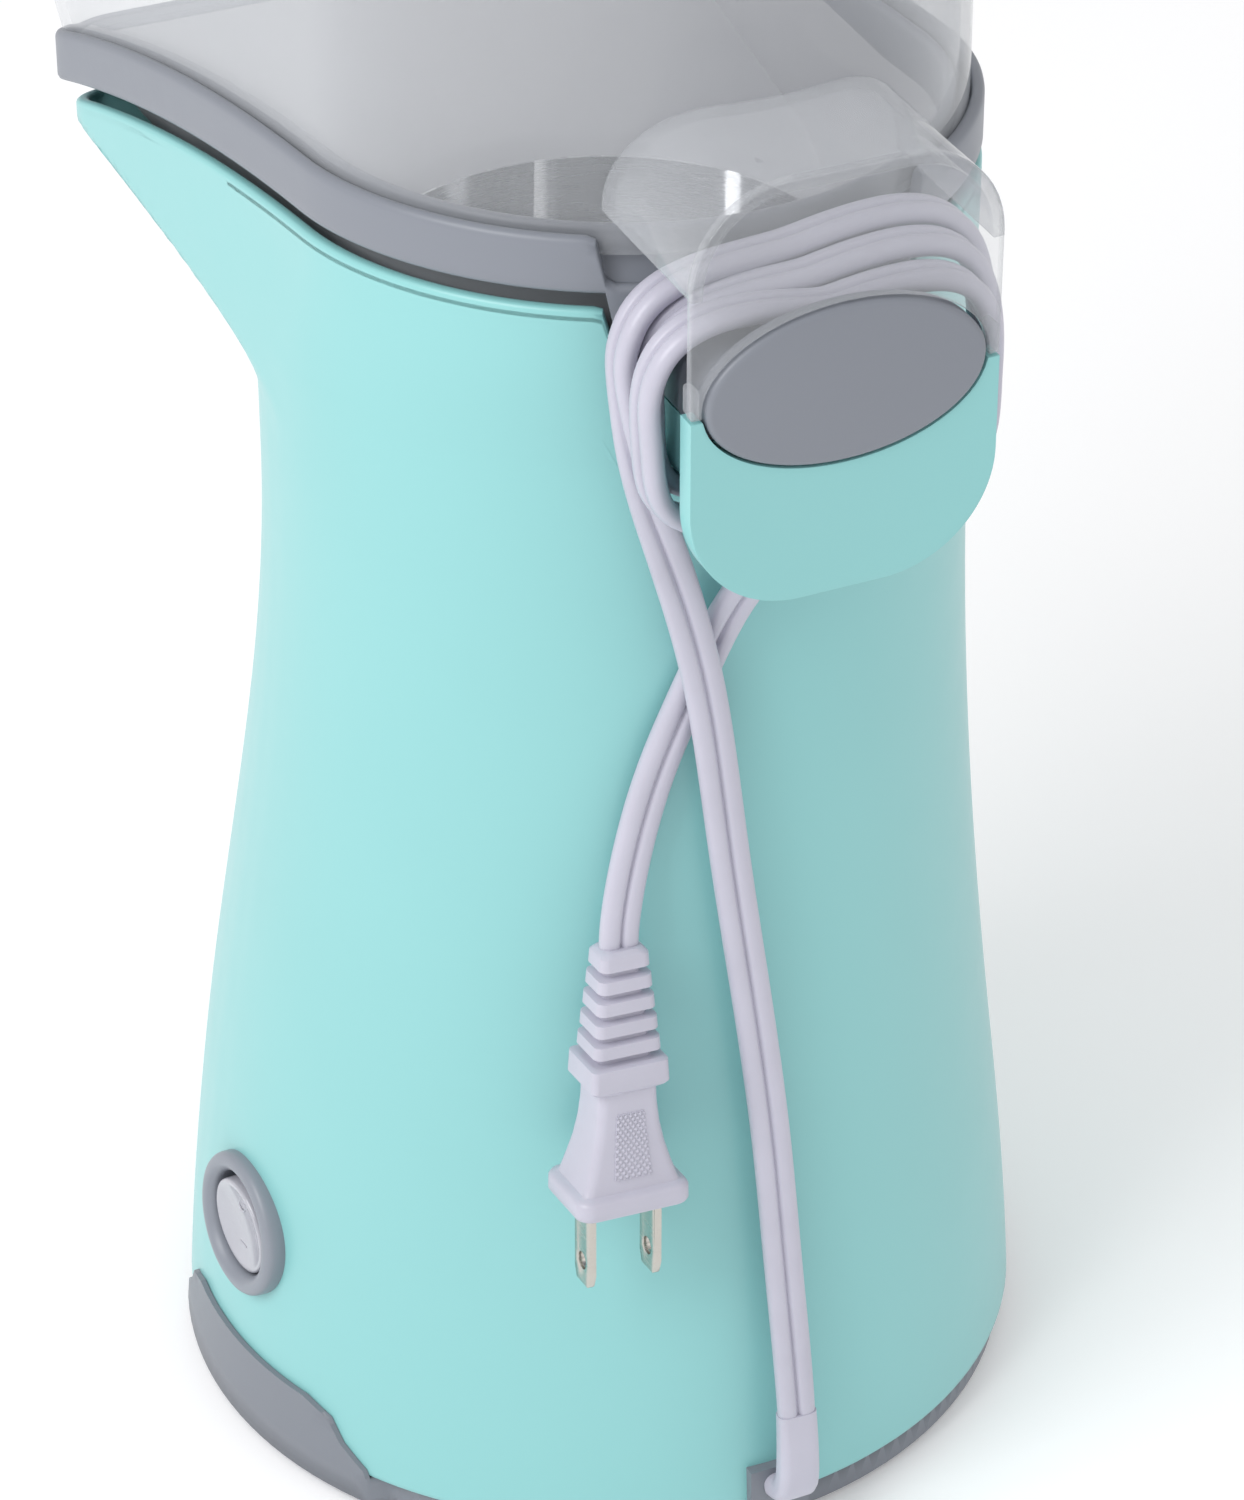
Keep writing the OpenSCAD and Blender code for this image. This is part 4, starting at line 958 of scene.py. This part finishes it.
def chute():
    """Inside of the chute, from the rim down to the popping chamber."""
    n, rows, ends = 2 * COLUMNS, 44, {}
    for c in range(n):
        z = BAND.on_line(c, lambda x, y: rim_top(y) - 1)
        x, y = inward(BAND, c, z, 7.05)
        front = at_front(*BAND.at(c, z))
        top = mix(rim_top(y) - 1.2, 239.2, front)
        share = c / n * 2 * math.pi
        r = CHAMBER_R - 0.5
        start = min(top, liner_z(x, y)) if front > 0.5 else top
        ends[c] = (x, y, start, r * math.sin(share), CORE_Y - r * math.cos(share))

    def place(u, v):
        x0, y0, z0, x1, y1 = ends[round(u * n) % n]
        w = v ** 1.7
        x, y = mix(x0, x1, w), mix(y0, y1, w)
        return x, y, z0 if v == 0 else min(z0, liner_z(x, y))
    piece = patch("chute", n, rows, place)
    tidy(piece, outwards=False)
    facing(piece, lambda c: (-c.x, -c.y - 0.03, 0.02))
    modify(piece, "SOLIDIFY", thickness=1.6 * MM, offset=-1.0)
    smooth_shade(piece, 60.0)
    return piece


def post_half(name, y0, y1, z0, z1, r, up):
    """One half of the wrap post: a slab with two rounded long edges."""
    steps = arc(POST_HALF - r, (z1 - r) if up else (z0 + r), r, 0, 90 if up else -90, 8)
    right = [(POST_HALF, z0 if up else z1)] + steps
    ring = right + [(-x, z) for x, z in right[::-1]]

    def place(u, v):
        x, z = ring[round(u * len(ring)) % len(ring)]
        return x, mix(y0, y1, v), z
    piece = patch(name, len(ring), 6, place)
    close_ends(piece, 0.00001)
    smooth_shade(piece, 40.0)
    return piece


class POPCORN_OT_rim(bpy.types.Operator):
    """Builds the gray rim, the chute, and the upper post with its oval cap"""
    bl_idname = "popcorn.rim"
    bl_label = "Rim and chute"

    def execute(self, context):
        sizes, colours, _ = settings()
        gray = moulded("gray_trim", colours.gray, 0.40)
        top = post_half("post_top", 64.0, FLANGE_Y + 0.2, SEAM_Z + 0.3, SEAM_Z + 14.2, 9.0, True)
        deselect()
        bpy.ops.mesh.primitive_cylinder_add(vertices=128, radius=1.0, depth=1.0)
        cap = bpy.context.object
        cap.name = "oval_cap"
        cap.scale = (OVAL_A * MM, OVAL_B * MM, 4.6 * MM)
        cap.rotation_euler = (math.pi / 2, 0, 0)
        cap.location = (0, (FLANGE_Y + 2.3) * MM, OVAL_Z * MM)
        settle(cap)
        modify(cap, "BEVEL", width=1.1 * MM, segments=4, limit_method="ANGLE", angle_limit=math.radians(60))
        smooth_shade(cap, 50.0)
        own(join("rim_band", [rim_band(), top, cap]), BODY, ("chute_collar",), gray)
        inside = moulded("chute_gray", colours.chute, 0.30, 0.03, coat=0.25)
        own(chute(), BODY, ("chute_collar",), inside)
        return {"FINISHED"}


# --- Clear cover and cup -----------------------------------------------------------------------------

SHELL = Rings(lambda z: cover_sizes(z, 0.0), 228.0, 392.0, COLUMNS)


class POPCORN_OT_cover(bpy.types.Operator):
    """Builds the clear cover with its cord visor, and the cup"""
    bl_idname = "popcorn.cover"
    bl_label = "Cover and cup"

    def execute(self, context):
        sizes, colours, _ = settings()
        wall = sizes.cover_wall * 1000
        plastic = clear("clear_cover", colours.clear)
        shell = self.shell(wall)
        own(join("cover", [shell, self.visor(wall)]), COVER, ("clear_cover",), plastic)
        cup = node_copy("measuring_cup", "cup", 40.0)
        own(cup, CUP, ("measuring_cup",), clear("clear_cup", colours.clear, 0.05))
        return {"FINISHED"}

    def shell(self, wall):
        n = 2 * COLUMNS
        foot = {c: SHELL.on_line(c, lambda x, y: rim_top(y) - 3.9) for c in range(n)}
        domes = [COVER_DOME + (COVER_TOP - COVER_DOME) * math.sin(k / 22 * math.pi / 2) for k in range(23)]
        rows = 14 + len(domes) + 3

        def place(u, v):
            c, row = round(u * n) % n, round(v * rows)
            if row < 14:
                z = mix(foot[c], COVER_DOME, row / 14)
                return (*SHELL.at(c, z), z)
            if row < 14 + len(domes):
                z = domes[row - 14]
                return (*SHELL.at(c, z), z)
            k = (row - 13 - len(domes)) / 4
            a = c / n * 2 * math.pi
            x, y = SHELL.at(c, COVER_TOP)
            return mix(x, CUP_R * math.sin(a), k), mix(y, 3 - CUP_R * math.cos(a), k), COVER_TOP
        piece = patch("cover_shell", n, rows, place)
        tidy(piece, outwards=False)
        facing(piece, lambda c: (c.x, c.y, c.z - 0.3))
        # the mouth: everything in front of a rounded line is cut off
        edge = [(-105.0, 238.0), (-105.0, 239.0)] + arc(-98, 278, 30, 236, 180, 7) + [(-MOUTH, 400.0)]

        def mouth():
            for (y0, z0), (y1, z1) in zip(edge[:-1], edge[1:]):
                if abs(y1 - y0) + abs(z1 - z0) < 2:
                    continue
                bpy.ops.mesh.select_all(action="SELECT")
                bpy.ops.mesh.bisect(plane_co=(0, y0 * MM, z0 * MM), plane_no=(0, z0 - z1, y1 - y0),
                                    clear_outer=True, threshold=0.000001)
        edit(piece, mouth)
        modify(piece, "SOLIDIFY", thickness=wall * MM, offset=-1.0)
        modify(piece, "BEVEL", width=0.35 * MM, segments=2, limit_method="ANGLE", angle_limit=math.radians(60))
        smooth_shade(piece, 45.0)
        return piece

    def visor(self, wall):
        """Arched roof over the cord and the end plate round the oval cap."""
        w, z1, r = FLANGE_HALF, OVAL_Z + 38.3, 17.0
        arch = [(w, OVAL_Z - 0.9)] + arc(w - r, z1 - r, r, 0, 90, 12)
        arch = even(arch + [(-x, z) for x, z in arch[::-1]], 72)
        roof_line = even([(w, z1 - r - 1)] + arc(w - r, z1 - r, r, 0, 90, 12)
                         + [(-x, z) for x, z in ([(w, z1 - r - 1)] + arc(w - r, z1 - r, r, 0, 90, 12))[::-1]], 60)

        def roof(u, v):
            x, z = roof_line[round(u * 60)]
            y0 = WAIST_LEAN + 4.5 + math.sqrt(max(0.0, (WAIST_R - 4.1) ** 2 - x * x))
            return x, mix(y0 - 0.6, REAR_Y - 0.05, v), z
        top = patch("visor_roof", 60, 24, roof)
        facing(top, lambda c: (c.x, 0, c.z - 0.27))
        modify(top, "SOLIDIFY", thickness=wall * MM, offset=-1.0)

        def plate(u, v):
            x, z = arch[round(u * 72)]
            x = clamp(x, -w + 0.05, w - 0.05)
            a = math.radians(mix(-3.5, 183.5, u))
            ox, oz = (OVAL_A + 0.6) * math.cos(a), OVAL_Z + (OVAL_B + 0.6) * math.sin(a)
            return mix(ox, x, v), REAR_Y - 0.05, mix(oz, z, v)
        end = patch("visor_end", 72, 8, plate)
        facing(end, lambda c: (0, 1, 0))
        modify(end, "SOLIDIFY", thickness=wall * MM, offset=-1.0)
        feet = []
        for side in (-1, 1):
            foot = block("visor_foot", (side * 26.6 - 0.85, 91.2, OVAL_Z - 0.85),
                         (side * 26.6 + 0.85, 94.9, OVAL_Z + 4.5), 0.7)
            feet.append(foot)
        piece = join("visor", [top, end] + feet)
        modify(piece, "BEVEL", width=0.4 * MM, segments=2, limit_method="ANGLE", angle_limit=math.radians(60))
        smooth_shade(piece, 45.0)
        return piece


# --- Switch, base and what lies inside ------------------------------------------------------------------

def turned(name, profile, matrix, sides=96):
    """A closed profile of (radius, height) turned round the Z axis, then moved."""
    count = len(profile)

    def place(u, v):
        r, z = profile[round(v * count) % count]
        a = 2 * math.pi * u
        return r * math.cos(a), r * math.sin(a), z
    piece = patch(name, sides, count, place)
    tidy(piece)
    move(piece, matrix)
    smooth_shade(piece, 40.0)
    return piece


class POPCORN_OT_switch(bpy.types.Operator):
    """Builds the round on-off switch: its gray ring and its dished rocker"""
    bl_idname = "popcorn.switch"
    bl_label = "Switch"

    def execute(self, context):
        _, colours, _ = settings()
        axes = switch_frame()
        ring = [(12.6, -8.8), (12.7, -1.5), (13.9, -1.5), (14.0, -1.2), (14.0, 0.9), (13.85, 1.6),
                (13.5, 2.1), (12.9, 2.45), (12.2, 2.6), (11.7, 2.55), (11.3, 2.3), (10.7, 1.7),
                (10.3, 1.1), (10.3, 0.2), (10.3, -8.8)]
        own(turned("switch_ring", ring, axes), BODY, ("switch_bezel",),
            moulded("ring_gray", scaled(colours.gray, 1.15), 0.38))
        tilt = (axes @ Matrix.Translation((0, 0, -4.5 * MM)) @ Matrix.Rotation(math.radians(6), 4, "Y")
                @ Matrix.Translation((0, 0, 4.5 * MM)))
        dish = [(0.02, 0.0)] + [(r, 27 - math.sqrt(27 * 27 - r * r)) for r in np.linspace(0.6, 8.2, 18)]
        dish += [(8.7, 1.42), (9.0, 1.4), (9.25, 1.25), (9.4, 0.95), (9.4, 0.3), (9.4, -3.4), (9.2, -3.6),
                 (3.0, -3.6), (0.02, -3.6)]
        rocker = turned("rocker", [(float(r), float(z)) for r, z in dish], tilt)
        marks = []
        for x, ring_mark in ((4.6, False), (-4.6, True)):
            deselect()
            if ring_mark:
                bpy.ops.mesh.primitive_torus_add(major_radius=1.15 * MM, minor_radius=0.16 * MM, major_segments=32,
                                                 minor_segments=8, location=(x * MM, 0, 0.42 * MM))
            else:
                bpy.ops.mesh.primitive_cylinder_add(vertices=16, radius=0.17 * MM, depth=2.4 * MM,
                                                    location=(x * MM, 0, 0.42 * MM), rotation=(math.pi / 2, 0, 0))
            mark = bpy.context.object
            settle(mark)
            smooth_shade(mark, 60.0)
            move(mark, tilt)
            marks.append(mark)
        own(join("rocker", [rocker] + marks), ROCKER, ("switch_rocker",), self.finish(colours))
        return {"FINISHED"}

    def finish(self, colours):
        """Glossy, slightly milky plastic with a faint cloudy tone and a fine grain."""
        s = Shader("rocker_gray")
        cloud = s.noise(s.place(), 60.0, 3.0)
        s.set(base_color=s.blend(cloud, (0.47, 0.47, 0.53), (0.60, 0.60, 0.66)),
              roughness=cloud * 0.12 + 0.14, ior=1.5,
              transmission_weight=0.25, coat_weight=0.5, coat_roughness=0.08)
        s.bump(s.noise(s.place(), 240.0, 2.0), 0.08, 0.0003)
        return s.material


class POPCORN_OT_base(bpy.types.Operator):
    """Smooths the base with its side panel, the cord bushing, the feet and the popping chamber"""
    bl_idname = "popcorn.base"
    bl_label = "Base"

    def execute(self, context):
        _, colours, _ = settings()
        gray = moulded("base_gray", scaled(colours.gray, 0.92), 0.42)
        rubber = dull("foot_rubber", (0.035, 0.035, 0.04), 0.75, 500.0)
        tin = metal("chamber_aluminium", (0.72, 0.73, 0.75), 0.28, (1, 1, 18))
        for node, name, finish, slot, degrees in (("base", "base_ring", gray, "gray_trim", 35.0),
                                                  ("cord_bushing", "cord_inlet", gray, "gray_trim", 35.0),
                                                  ("foot_pads", "feet", rubber, "foot_rubber", 40.0),
                                                  ("popping_chamber", "chamber", tin, "chamber_aluminium", 30.0)):
            piece = node_copy(node, name, degrees)
            own(piece, BODY, (node,), finish)
        return {"FINISHED"}


def finishes():
    """Finish of every material slot that the carried-over nodes use."""
    return {
        "screw_steel": metal("screw_steel", (0.55, 0.56, 0.58), 0.25, (1, 1, 9)),
        "sleeve_steel": metal("sleeve_steel", (0.62, 0.63, 0.65), 0.34, (1, 1, 25)),
        "mica": dull("mica", (0.62, 0.54, 0.36), 0.45, 240.0, (0.44, 0.36, 0.22)),
        "heater_wire": metal("heater_wire", (0.30, 0.27, 0.25), 0.5, (30, 30, 1), (0.13, 0.12, 0.15)),
        "thermostat_black": dull("thermostat_black", (0.03, 0.03, 0.035), 0.35, 700.0),
        "fuse_white": dull("fuse_white", (0.72, 0.71, 0.66), 0.4, 500.0),
        "fan_gray": moulded("fan_gray", (0.12, 0.125, 0.14), 0.45, 0.08),
        "motor_steel": metal("motor_steel", (0.48, 0.49, 0.50), 0.3, (1, 1, 30)),
        "motor_cap_black": moulded("motor_cap_black", (0.03, 0.03, 0.035), 0.5, 0.1),
        "magnet_gray": dull("magnet_gray", (0.10, 0.10, 0.11), 0.6, 800.0),
        "copper_winding": metal("copper_winding", (0.72, 0.36, 0.20), 0.35, (1, 1, 60), (0.45, 0.18, 0.09)),
        "shaft_steel": metal("shaft_steel", (0.70, 0.71, 0.72), 0.14, (1, 1, 4)),
        "bearing_bronze": metal("bearing_bronze", (0.58, 0.42, 0.22), 0.4, (1, 1, 8)),
        "board_green": dull("board_green", (0.03, 0.16, 0.08), 0.35, 300.0),
        "diode_black": dull("diode_black", (0.02, 0.02, 0.022), 0.3, 900.0),
        "switch_black": moulded("switch_black", (0.03, 0.03, 0.033), 0.4, 0.08),
        "terminal_brass": metal("terminal_brass", (0.75, 0.58, 0.28), 0.25, (1, 1, 12)),
        "lead_white": moulded("lead_white", (0.75, 0.75, 0.74), 0.4, 0.04),
        "lead_red": moulded("lead_red", (0.50, 0.05, 0.035), 0.4, 0.04),
        "lead_black": moulded("lead_black", (0.02, 0.02, 0.02), 0.4, 0.04),
    }


class POPCORN_OT_inside(bpy.types.Operator):
    """Gives the heater, fan, motor and wiring their finishes"""
    bl_idname = "popcorn.inside"
    bl_label = "Inside parts"

    def execute(self, context):
        _, colours, _ = settings()
        table = finishes()
        spare = moulded("inside_gray", scaled(colours.gray, 0.9), 0.45)
        slots = {part["node"]: part["material_slot"] for part in frame["record"]["subparts"]}
        for name, node in frame["nodes"].items():
            paint(node, table.get(slots.get(name), spare))
        return {"FINISHED"}


# --- Panel and running --------------------------------------------------------------------------

class POPCORN_PT_panel(bpy.types.Panel):
    """Lists the pieces and their settings"""
    bl_idname = "POPCORN_PT_panel"
    bl_label = "Popcorn maker"
    bl_space_type = "VIEW_3D"
    bl_region_type = "UI"
    bl_category = "Popcorn"

    def draw(self, context):
        for group in settings():
            box = self.layout.box()
            for key in group.bl_rna.properties.keys():
                if key not in ("rna_type", "name"):
                    box.prop(group, key)
        for step in STEPS:
            self.layout.operator(step.bl_idname)


STEPS = (POPCORN_OT_stage, POPCORN_OT_inside, POPCORN_OT_cord, POPCORN_OT_housing, POPCORN_OT_rim, POPCORN_OT_cover,
         POPCORN_OT_switch, POPCORN_OT_base)
GROUPS = (PopcornSizes, PopcornColours, PopcornStudio)


def register():
    for cls in GROUPS + STEPS + (POPCORN_PT_panel,):
        bpy.utils.register_class(cls)
    for key, cls in zip(("popcorn_sizes", "popcorn_colours", "popcorn_studio"), GROUPS):
        setattr(bpy.types.Scene, key, bpy.props.PointerProperty(type=cls))


def unregister():
    for key in ("popcorn_sizes", "popcorn_colours", "popcorn_studio"):
        delattr(bpy.types.Scene, key)
    for cls in reversed(GROUPS + STEPS + (POPCORN_PT_panel,)):
        bpy.utils.unregister_class(cls)


def main():
    register()
    for step in STEPS:
        group, call = step.bl_idname.split(".")
        getattr(getattr(bpy.ops, group), call)()


if __name__ == "__main__":
    main()
